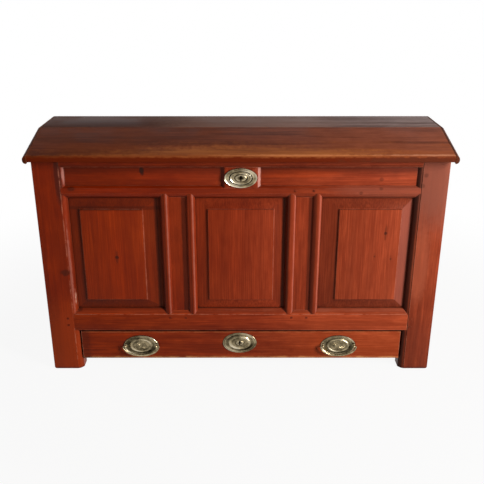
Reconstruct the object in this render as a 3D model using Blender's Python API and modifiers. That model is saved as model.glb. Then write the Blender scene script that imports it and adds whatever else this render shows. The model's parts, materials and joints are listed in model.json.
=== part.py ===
"""Panelled blanket chest with a canted three-board lid over one long drawer, as its separate pieces.

Metres, +Z up, +Y to the back. The origin is on the floor, in the middle of the object's box.
"""

from math import atan2, cos, pi, sin, tan

import bmesh
import bpy
from mathutils import Matrix, Vector

# Carcass and its front frame
CHEST_WIDTH = 1.100
CHEST_DEPTH = 0.440
SEAT_GAP = 0.0003
POST_WIDTH = 0.085
POST_DEPTH = 0.045
BACK_POST_WIDTH = 0.070
RAIL_THICKNESS = 0.030
RAIL_SETBACK = 0.001
BOTTOM_RAIL_HEIGHT = 0.066
PANEL_HEIGHT = 0.3295
MID_RAIL_HEIGHT = 0.035
FRIEZE_HEIGHT = 0.0533
TOP_RAIL_HEIGHT = 0.0187
MUNTIN_WIDTH = 0.096
LOCK_BLOCK_WIDTH = 0.105

# Mouldings, worked on the edges of the frame
EDGE_WIDTH = 0.0152
EDGE_DEPTH = 0.0130
EDGE_SWELL = 0.0026
QUIRK_DEPTH = 0.0012
BEAD_WIDTH = 0.025
FLAT_SINK = 0.007
CHAMFER_WIDTH = 0.0048
CHAMFER_DEPTH = 0.008
BLOCK_CHAMFER_WIDTH = 0.0095
ARC_STEPS = 6

# Grooves, tongues and tenons
PLOUGH_SETBACK = 0.016
PLOUGH_WIDTH = 0.009
PLOUGH_DEPTH = 0.010
TONGUE_LENGTH = 0.0085
TENON_LENGTH = 0.035
TENON_ROOT = 0.010
TENON_SHOULDER = 0.001
MUNTIN_TENON_WIDTH = 0.060
MUNTIN_TENON_LENGTH = 0.014

# Fielded and flat panels
FIELD_MARGIN = 0.029
FIELD_INNER_NARROWING = 0.0175
FIELD_CENTRE_NARROWING = 0.004
FIELD_STEP = 0.0036
FIELD_SETBACK = 0.0045
FRIEZE_SETBACK = 0.0085

# Ends, back and floor of the chest
END_SETBACK = 0.002
END_RAIL_THICKNESS = 0.026
END_PLOUGH_SETBACK = 0.009
END_TENON_LENGTH = 0.016
END_TOP_RAIL_HEIGHT = 0.075
END_FOOT_GAP = 0.014
BACK_SETBACK = 0.001
BACK_RAIL_THICKNESS = 0.022
BACK_PLOUGH_SETBACK = 0.006
BACK_TOP_RAIL_HEIGHT = 0.070
BACK_SEAM_DEPTH = 0.002
BACK_BOARDS = 4
FLOOR_RISE = 0.022
FLOOR_THICKNESS = 0.014
FLOOR_TONGUE = 0.008

# Canted lid
LID_OVERHANG = 0.028
LID_EAVE_RISE = 0.018
LID_RISE = 0.0398
LID_FRONT_RUN = 0.167
LID_TOP_RUN = 0.157
LID_BOARD = 0.0165
LID_NOSE_RADIUS = 0.004
LID_SIDE_LAP = 0.002
GABLE_THICKNESS = 0.020
GABLE_CLEARANCE = 0.002
NOSING_WIDTH = 0.0105
NOSING_HEIGHT = 0.0205
NOSING_ROUND = 0.0085
NOSING_STEPS = 4

# Hinges
HINGE_INSET = 0.170
HINGE_WIDTH = 0.064
HINGE_LEAF = 0.002
LOWER_LEAF_HEIGHT = 0.034
UPPER_LEAF_HEIGHT = 0.0145
KNUCKLE_RADIUS = 0.004
KNUCKLE_LENGTH = 0.022
HINGE_PIN_RADIUS = 0.0018
HINGE_PIN_CLEARANCE = 0.0002
ROUND_SIDES = 16

# Drawer
DRAWER_LIFT = 0.031
DRAWER_HEIGHT = 0.0915
DRAWER_TOP_GAP = 0.005
DRAWER_SIDE_GAP = 0.0015
DRAWER_SETBACK = 0.006
DRAWER_FRONT_THICKNESS = 0.022
DRAWER_SIDE_THICKNESS = 0.012
DRAWER_SIDE_HEIGHT = 0.078
DRAWER_BOTTOM_RISE = 0.010
DRAWER_BOTTOM_THICKNESS = 0.008
DRAWER_GROOVE_DEPTH = 0.006
DRAWER_ARRIS = 0.003
DOVETAIL_LENGTH = 0.014
DOVETAIL_WIDTH = 0.024
DOVETAIL_FLARE = 0.004
DOVETAIL_COUNT = 2
RUNNER_THICKNESS = 0.014
RUNNER_LEDGE = 0.022
GUIDE_HEIGHT = 0.026

# Brass
CHEST_PLATE_WIDTH = 0.088
CHEST_PLATE_HEIGHT = 0.054
DRAWER_PLATE_WIDTH = 0.099
DRAWER_PLATE_HEIGHT = 0.066
PULL_PLATE_WIDTH = 0.102
PULL_PLATE_HEIGHT = 0.066
PULL_PLATE_DROP = 0.002
PULL_INSET = 0.2625
DRAWER_BRASS_SHIFT = -0.0035
DRAWER_PLATE_RISE = 0.007
PLATE_RIM = 0.0026
PLATE_DOME = 0.0060
PLATE_STEPS = 32
PULL_POST_SPACING = 0.090
PULL_SHANK_RADIUS = 0.0020
PULL_FLANGE_RADIUS = 0.0048
PULL_NECK_LENGTH = 0.0045
PULL_BALL_RADIUS = 0.0042
PULL_STEPS = 12
BAIL_DROP = 0.030
BAIL_WIRE_RADIUS = 0.0022
BAIL_PINTLE_RADIUS = 0.0016
BAIL_SOCKET_DEPTH = 0.0030
BAIL_POINTS = 16
KEYHOLE_RADIUS = 0.0032
KEYHOLE_SLOT = 0.0040
KEYHOLE_DROP = 0.0120
KEYHOLE_RISE = 0.0040

# Locks
LOCK_WIDTH = 0.072
LOCK_HEIGHT = 0.046
LOCK_DEPTH = 0.014
LOCK_WALL = 0.0015
LOCK_CAP_GAP = 0.004
STAPLE_WIDTH = 0.009
STAPLE_THICKNESS = 0.004
STAPLE_DROP = 0.018
STAPLE_PLAY = 0.0015
KEEP_LENGTH = 0.030
KEEP_WIDTH = 0.040
KEEP_THICKNESS = 0.002
BOLT_THICKNESS = 0.0045
BOLT_HEIGHT = 0.008
BOLT_LENGTH = 0.026
DRAWER_LOCK_HEIGHT = 0.048
DRAWER_LOCK_DEPTH = 0.011
DRAWER_BOLT_WIDTH = 0.020
DRAWER_BOLT_LENGTH = 0.024
DRAWER_BOLT_THROW = 0.010

# Colours (linear), roughness and metallic of each finish
FINISHES = {
    "post": ((0.235, 0.034, 0.012), 0.38, 0.0),
    "rail": ((0.225, 0.031, 0.010), 0.38, 0.0),
    "panel": ((0.250, 0.036, 0.013), 0.36, 0.0),
    "lid": ((0.140, 0.042, 0.020), 0.32, 0.0),
    "drawer_face": ((0.230, 0.035, 0.011), 0.38, 0.0),
    "inside": ((0.380, 0.210, 0.095), 0.70, 0.0),
    "brass": ((0.420, 0.330, 0.170), 0.28, 1.0),
    "iron": ((0.090, 0.080, 0.072), 0.55, 1.0),
}

# Levels and planes that follow from the sizes
half = CHEST_WIDTH / 2
front = -(CHEST_DEPTH + 2 * SEAT_GAP + 2 * KNUCKLE_RADIUS - LID_OVERHANG) / 2
back = front + CHEST_DEPTH
inner = half - POST_WIDTH
back_inner = half - BACK_POST_WIDTH
face = front + RAIL_SETBACK
frame_back = face + RAIL_THICKNESS
plough = face + PLOUGH_SETBACK
tongue_front = plough + SEAT_GAP
tongue_back = plough + PLOUGH_WIDTH - SEAT_GAP
post_back = front + POST_DEPTH
back_post_front = back - POST_DEPTH
drawer_top = DRAWER_LIFT + DRAWER_HEIGHT
rail_low = drawer_top + DRAWER_TOP_GAP
rail_top = rail_low + BOTTOM_RAIL_HEIGHT
mid_low = rail_top + PANEL_HEIGHT
mid_top = mid_low + MID_RAIL_HEIGHT
frieze_top = mid_top + FRIEZE_HEIGHT
rim = frieze_top + TOP_RAIL_HEIGHT
floor_low = rail_low + FLOOR_RISE
panel_width = (2 * inner - 2 * MUNTIN_WIDTH) / 3
muntin_centre = (panel_width + MUNTIN_WIDTH) / 2
pitch = atan2(LID_RISE, LID_FRONT_RUN)
eave = Vector((front - LID_OVERHANG, rim + LID_EAVE_RISE))
ridge = eave + Vector((LID_FRONT_RUN, LID_RISE))
back_ridge = ridge + Vector((LID_TOP_RUN, 0))
lid_half = half + LID_SIDE_LAP
back_eave = Vector((back, back_ridge.y - (back - back_ridge.x) * tan(pitch)))
board_drop = LID_BOARD / cos(pitch)
mitre_shift = LID_BOARD * tan(pitch / 2)
hinge_y = back + 2 * SEAT_GAP + KNUCKLE_RADIUS
hinge_z = back_eave.y - board_drop - SEAT_GAP / 2
drawer_half = inner - DRAWER_SIDE_GAP
drawer_face = front + DRAWER_SETBACK
drawer_front_back = drawer_face + DRAWER_FRONT_THICKNESS
back_rail_front = back - BACK_SETBACK - BACK_RAIL_THICKNESS
drawer_end = back_rail_front - SEAT_GAP
drawer_bottom_low = DRAWER_LIFT + DRAWER_BOTTOM_RISE
drawer_bottom_top = drawer_bottom_low + DRAWER_BOTTOM_THICKNESS
chest_key_z = (mid_top - CHAMFER_WIDTH + frieze_top) / 2
pull_z = DRAWER_LIFT + DRAWER_HEIGHT / 2
drawer_key_x = DRAWER_BRASS_SHIFT
drawer_key_z = pull_z + DRAWER_PLATE_RISE
lock_front = frame_back + SEAT_GAP
lock_top = rim - LOCK_CAP_GAP
staple_y = lock_front + (LOCK_DEPTH - LOCK_WALL) / 2
bolt_z = lock_top - STAPLE_DROP + BOLT_HEIGHT

for scene_object in list(bpy.data.objects):
    bpy.data.objects.remove(scene_object)


def new_collection(name):
    group = bpy.data.collections.new(name)
    bpy.context.scene.collection.children.link(group)
    return group


parts = new_collection("blanket_chest")
cutters = new_collection("blanket_chest_cutters")

# How an outline's plane and its run turn into world axes
RUN_AXES = {
    "X": Matrix(((0, 0, 1), (1, 0, 0), (0, 1, 0))).to_4x4(),
    "Y": Matrix(((1, 0, 0), (0, 0, -1), (0, 1, 0))).to_4x4(),
    "Z": Matrix.Identity(4),
}
RUN_VECTORS = {"X": Vector((1, 0, 0)), "Y": Vector((0, 1, 0)), "Z": Vector((0, 0, 1))}


def prism(name, outline, run, start, end):
    """A straight bar of the given outline that runs from start to end along X, Y or Z.

    The outline is in (y, z) along X, in (x, z) along Y and in (x, y) along Z.
    """
    mesh = bpy.data.meshes.new(name)
    shape = bmesh.new()
    cap = shape.faces.new([shape.verts.new((u, v, (start - end) / 2)) for u, v in outline])
    pulled = bmesh.ops.extrude_face_region(shape, geom=[cap], use_keep_orig=True)["geom"]
    far = [item for item in pulled if isinstance(item, bmesh.types.BMVert)]
    bmesh.ops.translate(shape, vec=(0, 0, end - start), verts=far)
    bmesh.ops.recalc_face_normals(shape, faces=shape.faces)
    shape.to_mesh(mesh)
    shape.free()
    piece = bpy.data.objects.new(name, mesh)
    parts.objects.link(piece)
    middle = RUN_VECTORS[run] * (start + end) / 2
    piece.matrix_world = Matrix.Translation(middle) @ RUN_AXES[run]
    return piece


def box(name, low, high):
    mesh = bpy.data.meshes.new(name)
    shape = bmesh.new()
    bmesh.ops.create_cube(shape, size=1)
    bmesh.ops.scale(shape, vec=Vector(high) - Vector(low), verts=shape.verts)
    shape.to_mesh(mesh)
    shape.free()
    piece = bpy.data.objects.new(name, mesh)
    parts.objects.link(piece)
    piece.location = (Vector(high) + Vector(low)) / 2
    return piece


def rod(name, centre, radius, length, run, sides=ROUND_SIDES):
    mesh = bpy.data.meshes.new(name)
    shape = bmesh.new()
    bmesh.ops.create_cone(shape, cap_ends=True, segments=sides, radius1=radius, radius2=radius, depth=length)
    shape.to_mesh(mesh)
    shape.free()
    mesh.shade_smooth()
    mesh.set_sharp_from_angle(angle=pi / 5)
    piece = bpy.data.objects.new(name, mesh)
    parts.objects.link(piece)
    piece.matrix_world = Matrix.Translation(centre) @ RUN_AXES[run]
    return piece


def combine(piece, tool, operation):
    """Cut the tool out of a piece, or join it on, and keep the tool as a hidden guide."""
    modifier = piece.modifiers.new(tool.name, "BOOLEAN")
    modifier.operation = operation
    modifier.object = tool
    if tool.name in parts.objects:
        parts.objects.unlink(tool)
        cutters.objects.link(tool)
    tool.hide_render = True
    tool.display_type = "WIRE"


def cut(piece, tool):
    combine(piece, tool, "DIFFERENCE")


def join(piece, tool):
    combine(piece, tool, "UNION")


def tenon(bar, host, low, high):
    """A tenon on a bar, and its mortise, a seat gap larger all round, in the host."""
    margin = Vector((SEAT_GAP, SEAT_GAP, SEAT_GAP))
    join(bar, box(bar.name + "_tenon", low, high))
    cut(host, box(host.name + "_mortise", Vector(low) - margin, Vector(high) + margin))


def finish(piece, name):
    colour, roughness, metallic = FINISHES[name]
    material = bpy.data.materials.new(piece.name + "_" + name)
    material.use_nodes = True
    shader = material.node_tree.nodes["Principled BSDF"]
    shader.inputs["Base Color"].default_value = (*colour, 1)
    shader.inputs["Roughness"].default_value = roughness
    shader.inputs["Metallic"].default_value = metallic
    material.diffuse_color = (*colour, 1)
    piece.data.materials.clear()
    piece.data.materials.append(material)


def pivot(name, place):
    empty = bpy.data.objects.new(name, None)
    parts.objects.link(empty)
    empty.location = place
    return empty


def attach(pieces, empty):
    bpy.context.view_layer.update()
    for piece in pieces:
        piece.parent = empty
        piece.matrix_parent_inverse = empty.matrix_world.inverted()


def mirrored(outline):
    return [(-u, v) for u, v in outline]


# Edge profiles: how far past the start of the moulding, and how deep behind the member's face
SQUARE_EDGE = [(0, 0)]
CHAMFERED_EDGE = [(0, 0), (CHAMFER_WIDTH, CHAMFER_DEPTH)]
BLOCK_EDGE = [(0, 0), (BLOCK_CHAMFER_WIDTH, CHAMFER_DEPTH)]


def ovolo_edge():
    """A small quirk and a flat round that falls away to the panel."""
    shares = [step / ARC_STEPS for step in range(ARC_STEPS + 1)]
    fall = EDGE_DEPTH - QUIRK_DEPTH
    edge = [(EDGE_WIDTH * share, QUIRK_DEPTH + fall * share - EDGE_SWELL * sin(pi * share)) for share in shares]
    return [(0, 0)] + edge


def bead_edge():
    """A proud rounded bead between the muntin's sunk flat and the panel."""
    turns = [pi / 2 * step / ARC_STEPS for step in range(ARC_STEPS + 1)]
    side = BEAD_WIDTH / 2
    rising = [(side * (1 - cos(t)), -FLAT_SINK * sin(t)) for t in turns]
    falling = [(side + side * sin(t), -FLAT_SINK + EDGE_DEPTH * (1 - cos(t))) for t in turns[1:]]
    return rising + falling


def member(low, high, face_at, thickness, groove_at, lower_edge, upper_edge, ploughs="both"):
    """Cross-section of a framing member, as (depth, height), with its edge mouldings and panel grooves."""
    lower_start = low + lower_edge[-1][0]
    upper_start = high - upper_edge[-1][0]
    groove = (face_at + groove_at, face_at + groove_at + PLOUGH_WIDTH)
    outline = [(face_at + depth, lower_start - reach) for reach, depth in reversed(lower_edge)]
    outline += [(face_at + depth, upper_start + reach) for reach, depth in upper_edge]
    if ploughs in ("both", "upper"):
        bed = high - PLOUGH_DEPTH
        outline += [(groove[0], high), (groove[0], bed), (groove[1], bed), (groove[1], high)]
    outline += [(face_at + thickness, high), (face_at + thickness, low)]
    if ploughs in ("both", "lower"):
        bed = low + PLOUGH_DEPTH
        outline += [(groove[1], low), (groove[1], bed), (groove[0], bed), (groove[0], low)]
    return outline


def rounded(before, corner, after, radius, steps=ARC_STEPS):
    """Points of the arc that rounds a corner of an outline."""
    here = Vector(corner)
    first = (Vector(before) - here).normalized()
    second = (Vector(after) - here).normalized()
    half_angle = first.angle(second) / 2
    centre = here + (first + second).normalized() * radius / sin(half_angle)
    start = here + first * radius / tan(half_angle) - centre
    stop = here + second * radius / tan(half_angle) - centre
    sweep = start.angle(stop)
    points = []
    for step in range(steps + 1):
        share = step / steps
        arm = (start * sin((1 - share) * sweep) + stop * sin(share * sweep)) / sin(sweep)
        points.append(tuple(centre + arm))
    return points


def under_lid(y):
    """Height of the lid's underside over a depth."""
    slope = eave.y - board_drop + (y - eave.x) * tan(pitch)
    fall = back_eave.y - board_drop + (back - y) * tan(pitch)
    return min(slope, ridge.y - LID_BOARD, fall)


def lid_room():
    """The space that the closed lid takes, used to plane the tops of posts and rails to its pitch."""
    past = LID_OVERHANG
    gap = SEAT_GAP / cos(pitch)
    ends = (eave.x - past, back + past)
    stations = (ends[0], ridge.x + mitre_shift, back_ridge.x - mitre_shift, ends[1])
    above = ridge.y + LID_BOARD
    outline = [(y, under_lid(y) - gap) for y in stations] + [(ends[1], above), (ends[0], above)]
    return prism("lid_room", outline, "X", -half - past, half + past)


def front_post_outline():
    """Plan of the right front post, with the moulded edge towards the opening."""
    start = inner + EDGE_WIDTH
    edge = [(start - reach, front + depth) for reach, depth in ovolo_edge()]
    return [(half, front)] + edge + [(inner, post_back), (half, post_back)]


def make_posts(room):
    post_top = rim + LID_EAVE_RISE
    posts = {}
    for side, sign in (("left", -1), ("right", 1)):
        plan = front_post_outline()
        back_plan = [(half, back_post_front), (back_inner, back_post_front), (back_inner, back), (half, back)]
        if side == "left":
            plan = mirrored(plan)
            back_plan = mirrored(back_plan)
        posts[side, "front"] = prism(side + "_front_post", plan, "Z", 0, post_top)
        posts[side, "back"] = prism(side + "_back_post", back_plan, "Z", 0, post_top)
        end_groove = sorted(sign * (half - END_SETBACK - END_PLOUGH_SETBACK - d) for d in (0, PLOUGH_WIDTH))
        front_groove = sorted(sign * (inner + d) for d in (-PLOUGH_DEPTH, PLOUGH_DEPTH))
        back_groove = sorted(sign * (back_inner + d) for d in (-PLOUGH_DEPTH, PLOUGH_DEPTH))
        back_bed = back - BACK_SETBACK - BACK_PLOUGH_SETBACK
        grooves = {
            "front": (
                ((front_groove[0], plough), (front_groove[1], plough + PLOUGH_WIDTH)),
                ((end_groove[0], post_back - PLOUGH_DEPTH), (end_groove[1], post_back + PLOUGH_DEPTH)),
            ),
            "back": (
                ((back_groove[0], back_bed - PLOUGH_WIDTH), (back_groove[1], back_bed)),
                ((end_groove[0], back_post_front - PLOUGH_DEPTH), (end_groove[1], back_post_front + PLOUGH_DEPTH)),
            ),
        }
        for row, pairs in grooves.items():
            post = posts[side, row]
            for low, high in pairs:
                cut(post, box(post.name + "_groove", (*low, rail_top - PLOUGH_DEPTH), (*high, rim)))
            cut(post, room)
            finish(post, "post")
    return posts


def rail_tenons(rail, posts, row, reach, low, high, depth):
    """Tenons at both ends of a rail that runs along X, with their mortises in the two posts."""
    for side, sign in (("left", -1), ("right", 1)):
        ends = sorted((sign * (reach - TENON_ROOT), sign * (reach + TENON_LENGTH)))
        tenon(rail, posts[side, row], (ends[0], depth[0], low), (ends[1], depth[1], high))


def make_front_frame(posts, room):
    reach = inner + EDGE_WIDTH + PLOUGH_DEPTH
    copes = {}
    for side, sign in (("left", -1), ("right", 1)):
        plan = [(sign * (x - SEAT_GAP), y - SEAT_GAP) for x, y in front_post_outline()]
        copes[side] = prism(side + "_post_cope", plan, "Z", 0, rim + LID_RISE)
    ovolo = ovolo_edge()
    depth = (tongue_front, tongue_back)

    bottom = member(rail_low, rail_top, face, RAIL_THICKNESS, PLOUGH_SETBACK, SQUARE_EDGE, ovolo, "upper")
    bottom_rail = prism("front_bottom_rail", bottom, "X", -reach, reach)
    middle = member(mid_low, mid_top, face, RAIL_THICKNESS, PLOUGH_SETBACK, ovolo, CHAMFERED_EDGE)
    mid_rail = prism("front_middle_rail", middle, "X", -reach, reach)
    top_height = ridge.y
    top = member(frieze_top, top_height, face, RAIL_THICKNESS, PLOUGH_SETBACK, SQUARE_EDGE, SQUARE_EDGE, "lower")
    top_rail = prism("front_top_rail", top, "X", -reach, reach)
    cut(top_rail, room)
    heights = (
        (bottom_rail, rail_low + PLOUGH_DEPTH, rail_top - PLOUGH_DEPTH - TENON_SHOULDER),
        (mid_rail, mid_low + PLOUGH_DEPTH + TENON_SHOULDER, mid_top - PLOUGH_DEPTH - TENON_SHOULDER),
        (top_rail, frieze_top + PLOUGH_DEPTH + TENON_SHOULDER, rim + TENON_SHOULDER),
    )
    for rail, low, high in heights:
        for cope in copes.values():
            cut(rail, cope)
        rail_tenons(rail, posts, "front", inner, low, high, depth)
        finish(rail, "rail")
    cut(bottom_rail, box(
        "front_floor_groove",
        (-inner, frame_back - FLOOR_TONGUE - SEAT_GAP, floor_low - SEAT_GAP),
        (inner, frame_back + FLOOR_TONGUE, floor_low + FLOOR_THICKNESS + SEAT_GAP),
    ))
    return bottom_rail, mid_rail, copes


def make_muntins(bottom_rail, mid_rail):
    ovolo = ovolo_edge()
    grown = (face - SEAT_GAP, RAIL_THICKNESS + 2 * SEAT_GAP, PLOUGH_SETBACK)
    low, high = rail_low - SEAT_GAP, rail_top + SEAT_GAP
    lower_cope = prism("bottom_rail_cope", member(low, high, *grown, SQUARE_EDGE, ovolo, "none"), "X", -half, half)
    low, high = mid_low - SEAT_GAP, mid_top + SEAT_GAP
    upper_cope = prism("middle_rail_cope", member(low, high, *grown, ovolo, CHAMFERED_EDGE, "none"), "X", -half, half)
    flat = face + FLAT_SINK
    depth = (tongue_front, tongue_back)
    bead = bead_edge()
    for side, sign in (("left", -1), ("right", 1)):
        centre = sign * muntin_centre
        sides = (centre - MUNTIN_WIDTH / 2, centre + MUNTIN_WIDTH / 2)
        setback = PLOUGH_SETBACK - FLAT_SINK
        plan = member(*sides, flat, RAIL_THICKNESS - FLAT_SINK, setback, bead, bead)
        plan = [(x, y) for y, x in plan]
        muntin = prism(side + "_muntin", plan, "Z", rail_top - EDGE_WIDTH, mid_low + EDGE_WIDTH)
        cut(muntin, lower_cope)
        cut(muntin, upper_cope)
        reach = (centre - MUNTIN_TENON_WIDTH / 2, centre + MUNTIN_TENON_WIDTH / 2)
        lower = (rail_top - MUNTIN_TENON_LENGTH, rail_top + TENON_ROOT)
        upper = (mid_low - TENON_ROOT, mid_low + MUNTIN_TENON_LENGTH)
        for rail, (low, high) in ((bottom_rail, lower), (mid_rail, upper)):
            tenon(muntin, rail, (reach[0], depth[0], low), (reach[1], depth[1], high))
        finish(muntin, "rail")
    return upper_cope


def make_lock_block(mid_cope, keyway):
    width = LOCK_BLOCK_WIDTH / 2
    plan = member(-width, width, face, RAIL_THICKNESS, PLOUGH_SETBACK, BLOCK_EDGE, BLOCK_EDGE)
    plan = [(x, y) for y, x in plan]
    block = prism("lock_block", plan, "Z", mid_top - CHAMFER_WIDTH, frieze_top - SEAT_GAP)
    cut(block, mid_cope)
    tongue = width - PLOUGH_DEPTH - TENON_SHOULDER
    for low, high in (
        (mid_top - TONGUE_LENGTH, mid_top + TENON_ROOT),
        (frieze_top - TENON_ROOT, frieze_top + TONGUE_LENGTH),
    ):
        join(block, box("lock_block_tenon", (-tongue, tongue_front, low), (tongue, tongue_back, high)))
    cut(block, keyway)
    finish(block, "rail")


def make_panel(name, width, height, margin, rise, step, narrowing=(0, 0)):
    """A panel that faces -Y, with its tongue in the frame's grooves; y = 0 is the front of the tongue.

    The narrowing brings the left and right edges of the field in, past the margin.
    """
    mesh = bpy.data.meshes.new(name)
    shape = bmesh.new()
    thickness = tongue_back - tongue_front
    bmesh.ops.create_cube(shape, size=1)
    size = (width + 2 * TONGUE_LENGTH, thickness, height + 2 * TONGUE_LENGTH)
    bmesh.ops.scale(shape, vec=size, verts=shape.verts)
    bmesh.ops.translate(shape, vec=(0, thickness / 2, 0), verts=shape.verts)
    field = min(shape.faces, key=lambda side: side.calc_center_median().y)
    for inset, forward in ((TONGUE_LENGTH + SEAT_GAP, 0), (margin, rise), (SEAT_GAP, step)):
        bmesh.ops.inset_region(shape, faces=[field], thickness=inset, use_even_offset=True)
        bmesh.ops.translate(shape, vec=(0, -forward, 0), verts=field.verts)
        if inset == margin:
            for vert in field.verts:
                vert.co.x += narrowing[0] if vert.co.x < 0 else -narrowing[1]
    bmesh.ops.recalc_face_normals(shape, faces=shape.faces)
    shape.to_mesh(mesh)
    shape.free()
    panel = bpy.data.objects.new(name, mesh)
    parts.objects.link(panel)
    finish(panel, "panel")
    return panel


def make_front_panels(copes):
    rise = tongue_front - face - FIELD_SETBACK - FIELD_STEP
    fields = (
        ("left", -1, (0, FIELD_INNER_NARROWING)),
        ("centre", 0, (FIELD_CENTRE_NARROWING, FIELD_CENTRE_NARROWING)),
        ("right", 1, (FIELD_INNER_NARROWING, 0)),
    )
    for side, sign, narrowing in fields:
        sizes = (panel_width, PANEL_HEIGHT, FIELD_MARGIN, rise, FIELD_STEP)
        panel = make_panel(side + "_front_panel", *sizes, narrowing)
        panel.location = (sign * (panel_width + MUNTIN_WIDTH), tongue_front, (rail_top + mid_low) / 2)
    for side, sign in (("left", -1), ("right", 1)):
        make_frieze_panel(side, sign, copes[side])


def make_frieze_panel(side, sign, cope):
    """A thick panel over the middle rail, scribed to the post's moulded edge and tongued all round."""
    start = LOCK_BLOCK_WIDTH / 2 + SEAT_GAP
    edges = sorted((sign * start, sign * (inner + EDGE_WIDTH)))
    low = (edges[0], face + FRIEZE_SETBACK, mid_top + SEAT_GAP)
    panel = box(side + "_frieze_panel", low, (edges[1], tongue_back - FIELD_STEP, frieze_top - SEAT_GAP))
    cut(panel, cope)
    edges = sorted((sign * (start - TONGUE_LENGTH), sign * (inner + TONGUE_LENGTH)))
    low = (edges[0], tongue_front, mid_top - TONGUE_LENGTH)
    join(panel, box("frieze_tongue", low, (edges[1], tongue_back, frieze_top + TONGUE_LENGTH)))
    finish(panel, "panel")


def make_ends(posts):
    opening_low = rail_top
    opening_high = rim - END_TOP_RAIL_HEIGHT
    rails = (
        ("top_rail", opening_high, rim, CHAMFERED_EDGE, SQUARE_EDGE, "lower"),
        ("bottom_rail", END_FOOT_GAP, opening_low, SQUARE_EDGE, CHAMFERED_EDGE, "upper"),
    )
    run = (post_back + SEAT_GAP, back_post_front - SEAT_GAP)
    bed = END_SETBACK + END_PLOUGH_SETBACK
    for side, sign in (("left", -1), ("right", 1)):
        tongue = sorted(sign * (half - bed - d) for d in (SEAT_GAP, PLOUGH_WIDTH - SEAT_GAP))
        for name, low, high, lower_edge, upper_edge, ploughs in rails:
            outline = member(
                low, high, END_SETBACK, END_RAIL_THICKNESS, END_PLOUGH_SETBACK, lower_edge, upper_edge, ploughs
            )
            outline = [(sign * (half - depth), z) for depth, z in outline]
            rail = prism(side + "_end_" + name, outline, "Y", *run)
            tenon_low = max(low, opening_low - END_TOP_RAIL_HEIGHT) + PLOUGH_DEPTH + TENON_SHOULDER
            tenon_high = high - PLOUGH_DEPTH - TENON_SHOULDER
            for row, edge, way in (("front", run[0], -1), ("back", run[1], 1)):
                ends = sorted((edge - way * TENON_ROOT, edge + way * END_TENON_LENGTH))
                low_corner = (tongue[0], ends[0], tenon_low)
                high_corner = (tongue[1], ends[1], tenon_high)
                tenon(rail, posts[side, row], low_corner, high_corner)
            finish(rail, "rail")
        width = run[1] - run[0]
        height = opening_high - opening_low
        rise = END_PLOUGH_SETBACK + SEAT_GAP - FIELD_STEP - CHAMFER_WIDTH
        panel = make_panel(side + "_end_panel", width, height, FIELD_MARGIN, rise, FIELD_STEP)
        panel.rotation_euler = (0, 0, sign * pi / 2)
        middle = (post_back + back_post_front) / 2
        panel.location = (sign * (half - bed - SEAT_GAP), middle, (opening_low + opening_high) / 2)


def make_back(posts, room):
    opening_low = rail_top
    opening_high = rim - BACK_TOP_RAIL_HEIGHT
    bed = BACK_SETBACK + BACK_PLOUGH_SETBACK
    depth = (back - bed - PLOUGH_WIDTH + SEAT_GAP, back - bed - SEAT_GAP)
    rails = (
        ("back_top_rail", opening_high, ridge.y, "lower", opening_high + PLOUGH_DEPTH + TENON_SHOULDER, rim),
        ("back_bottom_rail", END_FOOT_GAP, opening_low, "upper", rail_low, opening_low - PLOUGH_DEPTH - TENON_SHOULDER),
    )
    for name, low, high, ploughs, tenon_low, tenon_high in rails:
        outline = member(
            low, high, BACK_SETBACK, BACK_RAIL_THICKNESS, BACK_PLOUGH_SETBACK, SQUARE_EDGE, SQUARE_EDGE, ploughs
        )
        outline = [(back - inward, z) for inward, z in outline]
        rail = prism(name, outline, "X", -back_inner + SEAT_GAP, back_inner - SEAT_GAP)
        rail_tenons(rail, posts, "back", back_inner, tenon_low, tenon_high, depth)
        if ploughs == "lower":
            cut(rail, room)
        else:
            cut(rail, box(
                "back_floor_groove",
                (-back_inner, back_rail_front - FLOOR_TONGUE, floor_low - SEAT_GAP),
                (back_inner, back_rail_front + FLOOR_TONGUE + SEAT_GAP, floor_low + FLOOR_THICKNESS + SEAT_GAP),
            ))
        finish(rail, "rail")
    low = (-back_inner - TONGUE_LENGTH, depth[0], opening_low - TONGUE_LENGTH)
    high = (back_inner + TONGUE_LENGTH, depth[1], opening_high + TONGUE_LENGTH)
    panel = box("back_panel", low, high)
    board = (high[0] - low[0]) / BACK_BOARDS
    for seam in range(1, BACK_BOARDS):
        x = low[0] + board * seam
        outline = [(x, depth[1] - BACK_SEAM_DEPTH), (x + BACK_SEAM_DEPTH, back), (x - BACK_SEAM_DEPTH, back)]
        cut(panel, prism("back_seam", outline, "Z", opening_low - PLOUGH_DEPTH, opening_high + PLOUGH_DEPTH))
    finish(panel, "inside")


def make_floor():
    wide = half - END_SETBACK - END_RAIL_THICKNESS - SEAT_GAP
    narrow = min(inner, back_inner) - SEAT_GAP
    ends = (frame_back - FLOOR_TONGUE, back_rail_front + FLOOR_TONGUE)
    waist = (post_back + SEAT_GAP, back_post_front - SEAT_GAP)
    right = [
        (narrow, ends[0]), (narrow, waist[0]), (wide, waist[0]),
        (wide, waist[1]), (narrow, waist[1]), (narrow, ends[1]),
    ]
    outline = right + mirrored(reversed(right))
    floor = prism("chest_floor_board", outline, "Z", floor_low, floor_low + FLOOR_THICKNESS)
    finish(floor, "inside")


def make_runners():
    outside = half - END_SETBACK - END_RAIL_THICKNESS - SEAT_GAP
    seat = DRAWER_LIFT - SEAT_GAP
    outline = [
        (outside, seat - RUNNER_THICKNESS), (outside, seat + GUIDE_HEIGHT), (inner, seat + GUIDE_HEIGHT),
        (inner, seat), (drawer_half - RUNNER_LEDGE, seat), (drawer_half - RUNNER_LEDGE, seat - RUNNER_THICKNESS),
    ]
    run = (post_back + SEAT_GAP, back_post_front - SEAT_GAP)
    finish(prism("right_drawer_runner", outline, "Y", *run), "inside")
    finish(prism("left_drawer_runner", mirrored(outline), "Y", *run), "inside")


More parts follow.
